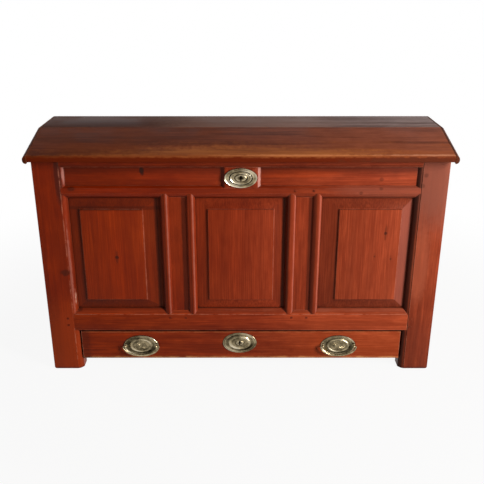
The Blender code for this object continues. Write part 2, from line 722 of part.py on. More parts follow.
def make_lid():
    gap = SEAT_GAP / 2
    drop = Vector((0, board_drop))
    mitre = Vector((mitre_shift, -LID_BOARD))
    back_mitre = Vector((-mitre_shift, -LID_BOARD))
    nudge = Vector((gap, 0))
    lip = eave - drop
    nose = rounded(ridge, eave, lip, LID_NOSE_RADIUS) + rounded(eave, lip, ridge + mitre, LID_NOSE_RADIUS / 2)
    boards = {
        "lid_front_board": nose + [ridge + mitre - nudge, ridge - nudge],
        "lid_top_board": [ridge + nudge, ridge + mitre + nudge, back_ridge + back_mitre - nudge, back_ridge - nudge],
        "lid_back_board": [back_ridge + nudge, back_ridge + back_mitre + nudge, back_eave - drop, back_eave],
    }
    lid = []
    for name, outline in boards.items():
        lid.append(prism(name, outline, "X", -lid_half, lid_half))
    start = post_back + GABLE_CLEARANCE
    stop = back_post_front - GABLE_CLEARANCE
    stations = (start, ridge.x + mitre_shift, back_ridge.x - mitre_shift, stop)
    gable = [(start, rim + SEAT_GAP), (stop, rim + SEAT_GAP)]
    gable += [(y, under_lid(y) - SEAT_GAP) for y in reversed(stations)]
    outside = half - END_SETBACK
    lid.append(prism("left_lid_end", gable, "X", -outside, -outside + GABLE_THICKNESS))
    lid.append(prism("right_lid_end", gable, "X", outside - GABLE_THICKNESS, outside))
    for piece in lid:
        finish(piece, "lid")
    return lid + [make_nosing("left", -1), make_nosing("right", 1)]


def make_nosing(side, sign):
    """The rounded moulding that covers the board ends and follows the lid's three pitches."""
    path = [eave, ridge, back_ridge, back_eave]
    fall = Vector((0, NOSING_HEIGHT))
    outline = path + [point - fall for point in reversed(path)]
    start = lid_half + SEAT_GAP
    ends = sorted((sign * start, sign * (start + NOSING_WIDTH)))
    nosing = prism(side + "_lid_moulding", outline, "X", *ends)
    shape = bmesh.new()
    shape.from_mesh(nosing.data)
    outer = sign * NOSING_WIDTH / 2
    run = [
        edge for edge in shape.edges
        if all(abs(vert.co.z - outer) < SEAT_GAP for vert in edge.verts)
        and abs(edge.verts[0].co.x - edge.verts[1].co.x) > SEAT_GAP
    ]
    bmesh.ops.bevel(
        shape, geom=run, offset=NOSING_ROUND, segments=NOSING_STEPS, profile=0.5, affect="EDGES",
        offset_type="OFFSET",
    )
    shape.to_mesh(nosing.data)
    shape.free()
    finish(nosing, "lid")
    return nosing


def make_hinges():
    upper = []
    reach = HINGE_WIDTH / 2
    middle = KNUCKLE_LENGTH / 2
    relief = KNUCKLE_RADIUS + 2 * SEAT_GAP
    bore_radius = HINGE_PIN_RADIUS + HINGE_PIN_CLEARANCE
    leaf = (back + SEAT_GAP, back + SEAT_GAP + HINGE_LEAF)
    for side, sign in (("left", -1), ("right", 1)):
        x = sign * (half - HINGE_INSET)
        bore = rod("hinge_bore", (x, hinge_y, hinge_z), bore_radius, 2 * HINGE_WIDTH, "X")
        tab = middle + SEAT_GAP
        foot = hinge_z - LOWER_LEAF_HEIGHT
        outline = [
            (x - reach, foot), (x + reach, foot), (x + reach, hinge_z), (x + tab, hinge_z),
            (x + tab, hinge_z - relief), (x - tab, hinge_z - relief), (x - tab, hinge_z), (x - reach, hinge_z),
        ]
        lower_leaf = prism(side + "_lower_hinge_leaf", outline, "Y", *leaf)
        for way in (-1, 1):
            centre = x + way * (reach + tab) / 2
            join(lower_leaf, rod("knuckle", (centre, hinge_y, hinge_z), KNUCKLE_RADIUS, reach - tab, "X"))
        cut(lower_leaf, bore)
        crown = hinge_z + UPPER_LEAF_HEIGHT
        shoulder = hinge_z + relief
        neck = middle - 2 * SEAT_GAP
        upper_leaf = box(side + "_upper_hinge_leaf", (x - reach, leaf[0], shoulder), (x + reach, leaf[1], crown))
        neck_low = (x - neck, leaf[0], hinge_z - 2 * SEAT_GAP)
        join(upper_leaf, box("hinge_neck", neck_low, (x + neck, leaf[1], shoulder + HINGE_LEAF)))
        join(upper_leaf, rod("knuckle", (x, hinge_y, hinge_z), KNUCKLE_RADIUS, KNUCKLE_LENGTH, "X"))
        cut(upper_leaf, bore)
        pin = rod(side + "_hinge_pin", (x, hinge_y, hinge_z), HINGE_PIN_RADIUS, HINGE_WIDTH, "X")
        for piece in (lower_leaf, upper_leaf, pin):
            finish(piece, "iron")
        upper += [upper_leaf, pin]
    return upper


def oval_plate(name, width, height, profile, x, z, seat):
    """A turned plate drawn out to an oval: profile is (share of the radius, height), centre to rim."""
    mesh = bpy.data.meshes.new(name)
    shape = bmesh.new()
    points = profile + [(profile[-1][0], 0), (0, 0)]
    verts = [shape.verts.new((share * width / 2, 0, level)) for share, level in points]
    for first, second in zip(verts, verts[1:]):
        shape.edges.new((first, second))
    shape.to_mesh(mesh)
    shape.free()
    plate = bpy.data.objects.new(name, mesh)
    parts.objects.link(plate)
    turn = plate.modifiers.new("turned", "SCREW")
    turn.steps = PLATE_STEPS
    turn.render_steps = PLATE_STEPS
    turn.use_merge_vertices = True
    turn.merge_threshold = 0.00001
    turn.use_smooth_shade = True
    plate.rotation_euler = (pi / 2, 0, 0)
    plate.scale = (1, height / width, 1)
    plate.location = (x, seat - SEAT_GAP, z)
    finish(plate, "brass")
    return plate


def escutcheon_profile():
    """Raised rim, sunk ring, raised oval and a boss for the keyhole."""
    return [
        (0, PLATE_DOME), (0.20, PLATE_DOME), (0.27, PLATE_DOME * 0.75), (0.40, PLATE_DOME * 0.62),
        (0.52, PLATE_DOME * 0.70), (0.60, PLATE_DOME * 0.55), (0.66, PLATE_RIM * 0.5), (0.76, PLATE_RIM * 0.5),
        (0.86, PLATE_RIM), (0.95, PLATE_RIM), (1.0, PLATE_RIM * 0.3),
    ]


def pull_profile():
    """Raised rim, sunk ring and a broad domed oval."""
    return [
        (0, PLATE_DOME), (0.25, PLATE_DOME * 0.96), (0.45, PLATE_DOME * 0.80), (0.58, PLATE_DOME * 0.56),
        (0.66, PLATE_RIM * 0.5), (0.78, PLATE_RIM * 0.5), (0.86, PLATE_RIM), (0.95, PLATE_RIM),
        (1.0, PLATE_RIM * 0.3),
    ]


def make_keyway(name, x, z, low_y, high_y):
    """A keyhole round the middle of its plate: a round eye with a straight slot below it."""
    z += KEYHOLE_RISE
    start = KEYHOLE_SLOT / 2
    sweep = pi - 2 * atan2(start, KEYHOLE_RADIUS)
    first = -pi / 2 + (2 * pi - 2 * sweep) / 4
    turns = [first + (2 * pi - 2 * (first + pi / 2)) * step / ROUND_SIDES for step in range(ROUND_SIDES + 1)]
    eye = [(x + KEYHOLE_RADIUS * cos(t), z + KEYHOLE_RADIUS * sin(t)) for t in turns]
    slot = [(eye[-1][0], z - KEYHOLE_DROP), (eye[0][0], z - KEYHOLE_DROP)]
    return prism(name, eye + slot, "Y", low_y, high_y)


def make_pull(side, sign, drawer_front):
    x = DRAWER_BRASS_SHIFT + sign * (half - PULL_INSET)
    plate_z = pull_z - PULL_PLATE_DROP
    plate = oval_plate(
        side + "_pull_plate", PULL_PLATE_WIDTH, PULL_PLATE_HEIGHT, pull_profile(), x, plate_z, drawer_face
    )
    flange = PLATE_RIM + SEAT_GAP
    neck = flange + PULL_NECK_LENGTH
    ball = neck + PULL_BALL_RADIUS * 0.8
    axis_y = drawer_face - SEAT_GAP - ball
    posts = []
    for name, way in (("left", -1), ("right", 1)):
        post_x = x + way * PULL_POST_SPACING / 2
        post = make_pull_post(side + "_pull_" + name + "_post", post_x, flange, neck, ball)
        socket_low = post_x + way * (PULL_BALL_RADIUS - BAIL_SOCKET_DEPTH)
        socket_high = post_x + way * 2 * PULL_BALL_RADIUS
        centre = ((socket_low + socket_high) / 2, axis_y, pull_z)
        radius = BAIL_PINTLE_RADIUS + SEAT_GAP
        cut(post, rod("bail_socket", centre, radius, abs(socket_high - socket_low), "X", PULL_STEPS))
        depth = DRAWER_FRONT_THICKNESS + PLATE_DOME
        centre = (post_x, drawer_face + DRAWER_FRONT_THICKNESS / 2, pull_z)
        hole = rod("pull_hole", centre, PULL_SHANK_RADIUS + SEAT_GAP, 2 * depth, "Y", PULL_STEPS)
        cut(plate, hole)
        cut(drawer_front, hole)
        posts.append(post)
    bail = make_bail(side + "_bail", x, axis_y)
    return [plate] + posts, bail


def make_pull_post(name, x, flange, neck, ball):
    """A turned post: shank through the drawer front, flange, neck and ball."""
    mesh = bpy.data.meshes.new(name)
    shape = bmesh.new()
    turns = [pi * step / PULL_STEPS for step in range(PULL_STEPS)]
    neck_turn = pi - turns[2]
    points = [
        (PULL_BALL_RADIUS * sin(t), ball + PULL_BALL_RADIUS * cos(t)) for t in turns if t <= neck_turn
    ]
    points += [(PULL_BALL_RADIUS * sin(neck_turn), neck - PULL_NECK_LENGTH / 2)]
    points += [(PULL_FLANGE_RADIUS, flange + PULL_NECK_LENGTH / 4), (PULL_FLANGE_RADIUS, flange)]
    points += [(PULL_SHANK_RADIUS, flange), (PULL_SHANK_RADIUS, -DRAWER_FRONT_THICKNESS - PLATE_RIM)]
    points += [(0, -DRAWER_FRONT_THICKNESS - PLATE_RIM)]
    verts = [shape.verts.new((radius, 0, level)) for radius, level in points]
    for first, second in zip(verts, verts[1:]):
        shape.edges.new((first, second))
    shape.to_mesh(mesh)
    shape.free()
    post = bpy.data.objects.new(name, mesh)
    parts.objects.link(post)
    turn = post.modifiers.new("turned", "SCREW")
    turn.steps = PULL_STEPS
    turn.render_steps = PULL_STEPS
    turn.use_merge_vertices = True
    turn.merge_threshold = 0.00001
    turn.use_smooth_shade = True
    post.rotation_euler = (pi / 2, 0, 0)
    post.location = (x, drawer_face - SEAT_GAP, pull_z)
    finish(post, "brass")
    return post


def make_bail(name, x, axis_y):
    """A drop handle: a half-oval of wire whose ends turn in to the posts; its origin is on its axis."""
    curve = bpy.data.curves.new(name, "CURVE")
    curve.dimensions = "3D"
    curve.bevel_depth = BAIL_WIRE_RADIUS
    curve.bevel_resolution = 2
    curve.use_fill_caps = True
    pintle = PULL_POST_SPACING / 2 + PULL_BALL_RADIUS - BAIL_SOCKET_DEPTH + SEAT_GAP
    thin = BAIL_PINTLE_RADIUS / BAIL_WIRE_RADIUS
    shoulder = PULL_POST_SPACING / 2 + PULL_BALL_RADIUS + SEAT_GAP
    reach = shoulder + SEAT_GAP + BAIL_WIRE_RADIUS
    turns = [pi * step / BAIL_POINTS for step in range(BAIL_POINTS + 1)]
    arc = [(-reach * cos(t), -BAIL_DROP * sin(t), 1.0) for t in turns]
    corner = (reach - shoulder) / 2
    arc[0] = (-reach, -corner, 1.0)
    arc[-1] = (reach, -corner, 1.0)
    points = [(-pintle, 0, thin), (-shoulder, 0, thin), (-shoulder - corner, 0, thin)] + arc
    points += [(shoulder + corner, 0, thin), (shoulder, 0, thin), (pintle, 0, thin)]
    spline = curve.splines.new("POLY")
    spline.points.add(len(points) - 1)
    for point, (across, down, radius) in zip(spline.points, points):
        point.co = (across, 0, down, 1)
        point.radius = radius
    bail = bpy.data.objects.new(name, curve)
    parts.objects.link(bail)
    bail.location = (x, axis_y, pull_z)
    finish(bail, "brass")
    return bail


def make_drawer(bottom_rail):
    groove = (drawer_bottom_low - SEAT_GAP, drawer_bottom_top + SEAT_GAP)
    low = (drawer_face, DRAWER_LIFT)
    high = (drawer_face, drawer_top)
    outline = rounded((drawer_front_back, DRAWER_LIFT), low, high, DRAWER_ARRIS)
    outline += rounded(low, high, (drawer_front_back, drawer_top), DRAWER_ARRIS / 2)
    outline += [(drawer_front_back, drawer_top)]
    bed = drawer_front_back - DRAWER_GROOVE_DEPTH - SEAT_GAP
    outline += [(drawer_front_back, groove[1]), (bed, groove[1]), (bed, groove[0]), (drawer_front_back, groove[0])]
    outline += [(drawer_front_back, DRAWER_LIFT)]
    drawer_front = prism("drawer_front", outline, "X", -drawer_half, drawer_half)
    drawer = [drawer_front]

    side_inner = drawer_half - DRAWER_SIDE_THICKNESS
    side_top = DRAWER_LIFT + DRAWER_SIDE_HEIGHT
    bed = side_inner + DRAWER_GROOVE_DEPTH + SEAT_GAP
    profile = [
        (drawer_half, DRAWER_LIFT), (drawer_half, side_top), (side_inner, side_top), (side_inner, groove[1]),
        (bed, groove[1]), (bed, groove[0]), (side_inner, groove[0]), (side_inner, DRAWER_LIFT),
    ]
    step = (side_top - groove[1]) / DOVETAIL_COUNT
    for side, sign in (("left", -1), ("right", 1)):
        shape = profile if sign > 0 else mirrored(profile)
        piece = prism(side + "_drawer_side", shape, "Y", drawer_front_back + SEAT_GAP, drawer_end)
        reach = sorted((sign * side_inner, sign * drawer_half))
        for tail in range(DOVETAIL_COUNT):
            centre = groove[1] + step * (tail + 0.5)
            join(piece, dovetail("drawer_tail", centre, 0, reach[0], reach[1]))
            socket = dovetail("tail_socket", centre, SEAT_GAP, reach[0] - SEAT_GAP, reach[1] + SEAT_GAP)
            cut(drawer_front, socket)
        finish(piece, "inside")
        drawer.append(piece)

    gap = side_inner - SEAT_GAP
    back_low = (-gap, drawer_end - DRAWER_SIDE_THICKNESS, groove[1])
    back_piece = box("drawer_back", back_low, (gap, drawer_end, side_top - DRAWER_ARRIS))
    finish(back_piece, "inside")
    tongue = side_inner + DRAWER_GROOVE_DEPTH
    bottom_front = drawer_front_back - DRAWER_GROOVE_DEPTH
    bottom = box("drawer_bottom", (-tongue, bottom_front, drawer_bottom_low), (tongue, drawer_end, drawer_bottom_top))
    finish(bottom, "inside")
    drawer += [back_piece, bottom]
    bails = {}
    for side, sign in (("left", -1), ("right", 1)):
        pieces, bails[side] = make_pull(side, sign, drawer_front)
        drawer += pieces
    keyway = make_keyway("drawer_keyway", drawer_key_x, drawer_key_z, drawer_face - LOCK_DEPTH, drawer_front_back)
    plate = oval_plate(
        "drawer_escutcheon", DRAWER_PLATE_WIDTH, DRAWER_PLATE_HEIGHT, escutcheon_profile(), drawer_key_x,
        drawer_key_z, drawer_face,
    )
    cut(plate, keyway)
    cut(drawer_front, keyway)
    case, bolt = make_drawer_lock(drawer_front, bottom_rail)
    finish(drawer_front, "drawer_face")
    return drawer + [plate, case], bolt, bails


def dovetail(name, centre, grow, start, end):
    """One flared tail, seen from the drawer's side; grow makes the socket that it sits in."""
    wide = DOVETAIL_WIDTH / 2 + grow
    narrow = wide - DOVETAIL_FLARE
    tip = drawer_front_back - DOVETAIL_LENGTH - grow
    root = drawer_front_back + TENON_ROOT
    neck = narrow + (wide - narrow) * (root - drawer_front_back) / (tip - drawer_front_back)
    outline = [(tip, centre - wide), (tip, centre + wide), (root, centre + neck), (root, centre - neck)]
    return prism(name, outline, "X", start, end)


def lock_case(name, low, high, mouth):
    """A sheet-iron case that is open on the side where it is screwed to the wood."""
    case = box(name, low, high)
    wall = Vector((LOCK_WALL, 0, LOCK_WALL))
    hollow_low = Vector(low) + wall
    hollow_high = Vector(high) - wall
    hollow_low.y = mouth
    hollow_high.y = high[1] - LOCK_WALL
    cut(case, box(name + "_hollow", hollow_low, hollow_high))
    finish(case, "iron")
    return case


def make_chest_lock():
    """Box lock behind the lock block, its sliding bolt, and the keep on the lid whose staple drops in."""
    low = (-LOCK_WIDTH / 2, lock_front, lock_top - LOCK_HEIGHT)
    high = (LOCK_WIDTH / 2, lock_front + LOCK_DEPTH, lock_top)
    case = lock_case("chest_lock_case", low, high, lock_front - LOCK_WALL)
    play = STAPLE_WIDTH / 2 + STAPLE_PLAY
    slot_x = STAPLE_THICKNESS / 2 + STAPLE_PLAY
    slot_low = (-slot_x, staple_y - play, lock_top - 2 * LOCK_WALL)
    slot = box("staple_slot", slot_low, (slot_x, staple_y + play, lock_top + LOCK_WALL))
    cut(case, slot)
    bolt_right = -slot_x
    bolt_low = (bolt_right - BOLT_LENGTH, staple_y - BOLT_THICKNESS / 2, bolt_z - BOLT_HEIGHT / 2)
    bolt_high = (bolt_right, staple_y + BOLT_THICKNESS / 2, bolt_z + BOLT_HEIGHT / 2)
    bolt = box("chest_lock_bolt", bolt_low, bolt_high)
    ledge_low = (bolt_low[0], bolt_low[1], bolt_low[2] - SEAT_GAP - LOCK_WALL)
    ledge_high = (bolt_high[0], high[1] - LOCK_WALL / 2, bolt_low[2] - SEAT_GAP)
    join(case, box("bolt_ledge", ledge_low, ledge_high))

    seat = SEAT_GAP / cos(pitch)
    keep_start = lock_front
    keep_stop = keep_start + KEEP_LENGTH * cos(pitch)
    drop = KEEP_THICKNESS / cos(pitch)
    top = [(y, under_lid(y) - seat) for y in (keep_start, keep_stop)]
    outline = top + [(y, z - drop) for y, z in reversed(top)]
    keep = prism("lock_keep", outline, "X", -KEEP_WIDTH / 2, KEEP_WIDTH / 2)
    staple_low = (-STAPLE_THICKNESS / 2, staple_y - STAPLE_WIDTH / 2, bolt_z - BOLT_HEIGHT)
    staple_high = (STAPLE_THICKNESS / 2, staple_y + STAPLE_WIDTH / 2, under_lid(staple_y) - seat - drop / 2)
    join(keep, box("staple", staple_low, staple_high))
    eye = Vector((STAPLE_THICKNESS, BOLT_THICKNESS / 2 + SEAT_GAP, BOLT_HEIGHT / 2 + SEAT_GAP))
    centre = Vector((0, staple_y, bolt_z))
    cut(keep, box("staple_eye", centre - eye, centre + eye))
    for piece in (bolt, keep):
        finish(piece, "iron")
    return keep


def make_drawer_lock(drawer_front, bottom_rail):
    """Drawer lock let into the back of the drawer front; its bolt rises into the rail above."""
    x = drawer_key_x
    reach = LOCK_WIDTH / 2
    pocket_y = drawer_front_back - DRAWER_LOCK_DEPTH
    low = (x - reach, pocket_y + SEAT_GAP, drawer_top - DRAWER_LOCK_HEIGHT)
    high = (x + reach, drawer_front_back, drawer_top - SEAT_GAP)
    margin = SEAT_GAP
    pocket_low = (low[0] - margin, pocket_y, low[2] - margin)
    pocket = box("lock_pocket", pocket_low, (high[0] + margin, drawer_front_back + margin, drawer_top + margin))
    cut(drawer_front, pocket)
    case = lock_case("drawer_lock_case", low, high, pocket_y - LOCK_WALL)
    middle_y = pocket_y + (DRAWER_LOCK_DEPTH - LOCK_WALL) / 2
    bolt_top = drawer_top - LOCK_WALL / 2
    width = DRAWER_BOLT_WIDTH / 2
    thickness = BOLT_THICKNESS / 2
    bolt_low = (x - width, middle_y - thickness, bolt_top - DRAWER_BOLT_LENGTH)
    bolt_high = (x + width, middle_y + thickness, bolt_top)
    bolt = box("drawer_lock_bolt", bolt_low, bolt_high)
    slot_low = (x - width - margin, bolt_low[1] - margin, drawer_top - 2 * LOCK_WALL)
    slot_high = (x + width + margin, bolt_high[1] + margin, rail_low + DRAWER_BOLT_THROW)
    slot = box("bolt_slot", slot_low, slot_high)
    cut(case, slot)
    cut(bottom_rail, slot)
    ledge_low = (x - width, bolt_low[1], bolt_low[2] - SEAT_GAP - LOCK_WALL)
    ledge_high = (x + width, drawer_front_back - LOCK_WALL / 2, bolt_low[2] - SEAT_GAP)
    join(case, box("drawer_bolt_ledge", ledge_low, ledge_high))
    finish(bolt, "iron")
    return case, bolt


def build():
    room = lid_room()
    posts = make_posts(room)
    bottom_rail, mid_rail, copes = make_front_frame(posts, room)
    mid_cope = make_muntins(bottom_rail, mid_rail)
    chest_keyway = make_keyway("chest_keyway", 0, chest_key_z, face - LOCK_DEPTH, frame_back + SEAT_GAP)
    make_lock_block(mid_cope, chest_keyway)
    make_front_panels(copes)
    make_ends(posts)
    make_back(posts, room)
    make_floor()
    make_runners()
    plate = oval_plate(
        "chest_escutcheon", CHEST_PLATE_WIDTH, CHEST_PLATE_HEIGHT, escutcheon_profile(), 0, chest_key_z, face
    )
    cut(plate, chest_keyway)
    lid = make_lid() + make_hinges() + [make_chest_lock()]
    attach(lid, pivot("lid_hinge_axis", (0, hinge_y, hinge_z)))
    drawer, drawer_bolt, bails = make_drawer(bottom_rail)
    attach(drawer + [drawer_bolt] + list(bails.values()), pivot("drawer_slide", (0, drawer_face, drawer_key_z)))


build()
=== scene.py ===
import json
import math

import bpy
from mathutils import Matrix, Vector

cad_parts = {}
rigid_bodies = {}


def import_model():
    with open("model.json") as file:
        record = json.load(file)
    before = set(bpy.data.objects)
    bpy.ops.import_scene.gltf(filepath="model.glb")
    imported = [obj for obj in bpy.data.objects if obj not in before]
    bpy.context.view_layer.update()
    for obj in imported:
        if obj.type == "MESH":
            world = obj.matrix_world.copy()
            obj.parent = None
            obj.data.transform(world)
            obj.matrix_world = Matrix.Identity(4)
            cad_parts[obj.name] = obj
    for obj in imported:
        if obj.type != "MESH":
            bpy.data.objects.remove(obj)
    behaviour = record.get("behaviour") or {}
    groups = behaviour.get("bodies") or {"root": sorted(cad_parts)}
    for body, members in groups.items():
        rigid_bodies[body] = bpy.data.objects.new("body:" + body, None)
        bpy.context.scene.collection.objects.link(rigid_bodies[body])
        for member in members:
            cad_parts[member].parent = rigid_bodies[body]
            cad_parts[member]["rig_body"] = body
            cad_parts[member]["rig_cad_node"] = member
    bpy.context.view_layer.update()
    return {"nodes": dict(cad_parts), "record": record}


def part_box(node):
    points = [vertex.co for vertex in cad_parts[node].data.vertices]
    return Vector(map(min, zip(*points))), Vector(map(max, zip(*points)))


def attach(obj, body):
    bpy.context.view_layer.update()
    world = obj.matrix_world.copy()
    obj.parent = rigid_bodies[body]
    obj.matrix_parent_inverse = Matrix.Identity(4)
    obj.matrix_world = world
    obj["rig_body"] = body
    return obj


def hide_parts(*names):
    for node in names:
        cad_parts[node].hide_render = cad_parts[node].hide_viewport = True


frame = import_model()
scene = bpy.context.scene
scene.view_settings.view_transform = "Standard"
bodyOfNode = {
    node: body
    for body, members in frame["record"]["behaviour"]["bodies"].items()
    for node in members
}
print("frame loaded with", len(frame["nodes"]), "nodes")


# camera at the photograph's place, looking down on the front
photoCamera = {
    "lens": 51.173,
    "sensor": 36.0,
    "place": (0.0, -1.9649, 1.0861),
    "pitch": 67.594,
    "shift": (0.00227, 0.0269),
}

camera = bpy.data.objects.new("photoCamera", bpy.data.cameras.new("photoCamera"))
scene.collection.objects.link(camera)
camera.data.lens = photoCamera["lens"]
camera.data.sensor_width = photoCamera["sensor"]
camera.data.shift_x, camera.data.shift_y = photoCamera["shift"]
camera.location = photoCamera["place"]
camera.rotation_euler = (math.radians(photoCamera["pitch"]), 0.0, 0.0)
scene.camera = camera
print("camera set")


# small helpers for node trees
def addNode(tree, kind, sockets=None, **settings):
    made = tree.nodes.new(kind)
    for key, value in settings.items():
        setattr(made, key, value)
    for key, value in (sockets or {}).items():
        if isinstance(value, bpy.types.NodeSocket):
            tree.links.new(value, made.inputs[key])
        else:
            made.inputs[key].default_value = value
    return made


def calc(tree, operation, first, second=0.0, clamp=False):
    return addNode(tree, "ShaderNodeMath", {0: first, 1: second}, operation=operation, use_clamp=clamp).outputs[0]


def remap(tree, value, low, high, toLow=0.0, toHigh=1.0):
    sockets = {"Value": value, "From Min": low, "From Max": high, "To Min": toLow, "To Max": toHigh}
    return addNode(tree, "ShaderNodeMapRange", sockets, interpolation_type="SMOOTHSTEP").outputs[0]


def blend(tree, share, first, second, mode="MIX"):
    made = addNode(tree, "ShaderNodeMix", {0: share, 6: first, 7: second}, data_type="RGBA", blend_type=mode)
    return made.outputs[2]


def stretch(tree, vector, scale):
    return addNode(tree, "ShaderNodeVectorMath", {0: vector, 1: scale}, operation="MULTIPLY").outputs[0]


def noise(tree, vector, scale, detail=3.0, rough=0.55):
    sockets = {"Vector": vector, "Scale": scale, "Detail": detail, "Roughness": rough}
    return addNode(tree, "ShaderNodeTexNoise", sockets).outputs["Fac"]


def newGroup(name, inputs, outputs):
    tree = bpy.data.node_groups.new(name, "ShaderNodeTree")
    for label, kind, value in inputs:
        socket = tree.interface.new_socket(name=label, in_out="INPUT", socket_type=kind)
        if value is not None:
            socket.default_value = value
    for label, kind in outputs:
        tree.interface.new_socket(name=label, in_out="OUTPUT", socket_type=kind)
    return tree, tree.nodes.new("NodeGroupInput").outputs, tree.nodes.new("NodeGroupOutput").inputs


def place(tree, group, sockets):
    made = addNode(tree, "ShaderNodeGroup", node_tree=group)
    for key, value in sockets.items():
        if isinstance(value, bpy.types.NodeSocket):
            tree.links.new(value, made.inputs[key])
        else:
            made.inputs[key].default_value = value
    return made.outputs


# pine figure: growth rings round a pith, broad streaks and fine fibres, all drawn out along local Z
def makePineFigure():
    tree, given, result = newGroup(
        "pineFigure",
        [("Vector", "NodeSocketVector", None), ("Ring Scale", "NodeSocketFloat", 78.0), ("Wander", "NodeSocketFloat", 7.0)],
        [("Streak", "NodeSocketFloat"), ("Rings", "NodeSocketFloat"), ("Fibre", "NodeSocketFloat")],
    )
    along = stretch(tree, given["Vector"], (1.0, 1.0, 0.05))
    broad = noise(tree, along, 34.0, 6.0, 0.70)
    drawn = stretch(tree, given["Vector"], (1.0, 1.0, 0.11))
    rings = addNode(
        tree,
        "ShaderNodeTexWave",
        {
            "Vector": drawn,
            "Scale": given["Ring Scale"],
            "Distortion": given["Wander"],
            "Detail": 2.0,
            "Detail Scale": 0.35,
            "Detail Roughness": 0.5,
        },
        wave_type="RINGS",
        rings_direction="Z",
        wave_profile="SAW",
    ).outputs["Fac"]
    thin = stretch(tree, given["Vector"], (1.0, 1.0, 0.018))
    fibre = noise(tree, thin, 420.0, 2.0, 0.5)
    tree.links.new(remap(tree, broad, 0.22, 0.72), result["Streak"])
    tree.links.new(rings, result["Rings"])
    tree.links.new(fibre, result["Fibre"])
    return tree


# rubbed arrises: how far the rounded normal leaves the true one, broken up by noise
def makeArrisWear():
    tree, given, result = newGroup(
        "arrisWear",
        [("Vector", "NodeSocketVector", None), ("Radius", "NodeSocketFloat", 0.0025), ("Amount", "NodeSocketFloat", 0.5)],
        [("Mask", "NodeSocketFloat")],
    )
    rounded = addNode(tree, "ShaderNodeBevel", {"Radius": given["Radius"]}, samples=6).outputs[0]
    true = addNode(tree, "ShaderNodeNewGeometry").outputs["Normal"]
    agree = addNode(tree, "ShaderNodeVectorMath", {0: rounded, 1: true}, operation="DOT_PRODUCT").outputs["Value"]
    bent = remap(tree, calc(tree, "SUBTRACT", 1.0, agree), 0.015, 0.16)
    open_ = addNode(tree, "ShaderNodeAmbientOcclusion", {"Distance": 0.006}, samples=6).outputs["AO"]
    outer = remap(tree, open_, 0.55, 0.85)
    patch = remap(tree, noise(tree, given["Vector"], 34.0, 5.0, 0.65), 0.36, 0.60)
    eased = addNode(tree, "ShaderNodeAttribute", attribute_name="arris").outputs["Fac"]
    edge = calc(tree, "MAXIMUM", calc(tree, "MULTIPLY", bent, 0.6), eased)
    some = calc(tree, "MULTIPLY", calc(tree, "MULTIPLY", edge, outer), patch)
    tree.links.new(calc(tree, "MULTIPLY", some, given["Amount"], True), result["Mask"])
    return tree


# painted shade in corners and along joints, darker where little light reaches, with the wax and dust that gather there
def makeCornerShadeAndDirt():
    tree, given, result = newGroup(
        "cornerDirt",
        [("Vector", "NodeSocketVector", None), ("Reach", "NodeSocketFloat", 0.016), ("Amount", "NodeSocketFloat", 0.7)],
        [("Mask", "NodeSocketFloat")],
    )
    closed = addNode(tree, "ShaderNodeAmbientOcclusion", {"Distance": given["Reach"]}, samples=8).outputs["AO"]
    shut = remap(tree, calc(tree, "SUBTRACT", 1.0, closed), 0.20, 0.66)
    uneven = remap(tree, noise(tree, given["Vector"], 22.0, 4.0, 0.6), 0.25, 0.7, 0.55, 1.0)
    tree.links.new(calc(tree, "MULTIPLY", calc(tree, "MULTIPLY", shut, uneven), given["Amount"], True), result["Mask"])
    return tree


# slow changes of tone over a whole board, where polish has faded or built up
def makePatina():
    tree, given, result = newGroup(
        "patina",
        [("Vector", "NodeSocketVector", None), ("Scale", "NodeSocketFloat", 5.0)],
        [("Tone", "NodeSocketFloat"), ("Specks", "NodeSocketFloat")],
    )
    tone = noise(tree, given["Vector"], given["Scale"], 3.0, 0.55)
    specks = noise(tree, given["Vector"], 190.0, 3.0, 0.6)
    tree.links.new(remap(tree, tone, 0.30, 0.70), result["Tone"])
    tree.links.new(remap(tree, specks, 0.66, 0.74), result["Specks"])
    return tree


pineFigure = makePineFigure()
arrisWear = makeArrisWear()
cornerDirt = makeCornerShadeAndDirt()
patina = makePatina()
print("shader groups made")


grainTurn = {
    "X": (0.0, -math.pi / 2, 0.0),
    "Y": (math.pi / 2, 0.0, 0.0),
    "Z": (0.0, 0.0, 0.0),
}

redPolish = {
    "deep": (0.085, 0.0055, 0.0008),
    "body": (0.215, 0.0170, 0.0016),
    "pale": (0.300, 0.036, 0.0050),
    # faded: the paler colour towards the window side, a painted sheen
    "faded": (0.264, 0.046, 0.0170),
    "worn": (0.430, 0.150, 0.090),
    "dirt": (0.010, 0.003, 0.002),
    "rough": (0.30, 0.44),
    "gloss": 0.13,
    "tint": (1.0, 0.72, 0.60),
    "wear": 0.42,
    "grime": 0.92,
    "bump": 0.10,
    "plain": 0.22,
    "streaks": (0.14, 0.88),
    "mottle": 0.34,
    "rings": 0.26,
    "spread": (0.58, 1.28),
    "fibre": 0.34,
    "recess": (0.030, 0.0030, 0.0010),
    "bloom": (0.200, 0.058, 0.041),
}

panelPolish = dict(redPolish, plain=0.42, mottle=0.24, rings=0.20, spread=(0.76, 1.14), fibre=0.50)
railPolish = dict(redPolish, mottle=0.50, rings=0.46, spread=(0.50, 1.36), fibre=0.66, streaks=(0.24, 0.80))

lidPolish = dict(
    redPolish,
    deep=(0.070, 0.0120, 0.0034),
    body=(0.165, 0.0300, 0.0078),
    pale=(0.250, 0.063, 0.0185),
    faded=(0.228, 0.064, 0.0330),
    worn=(0.420, 0.170, 0.060),
    rough=(0.34, 0.50),
    gloss=0.016,
    tint=(1.0, 0.95, 0.92),
    plain=0.0,
    streaks=(0.30, 0.78),
    rings=0.40,
)

# the lid's top board: its pale greyish colour towards the window side is a painted grey sheen
topPolish = dict(
    lidPolish,
    deep=(0.050, 0.0098, 0.0042),
    body=(0.088, 0.0220, 0.0092),
    pale=(0.165, 0.066, 0.0350),
    faded=(0.268, 0.200, 0.1850),
    gloss=0.008,
)

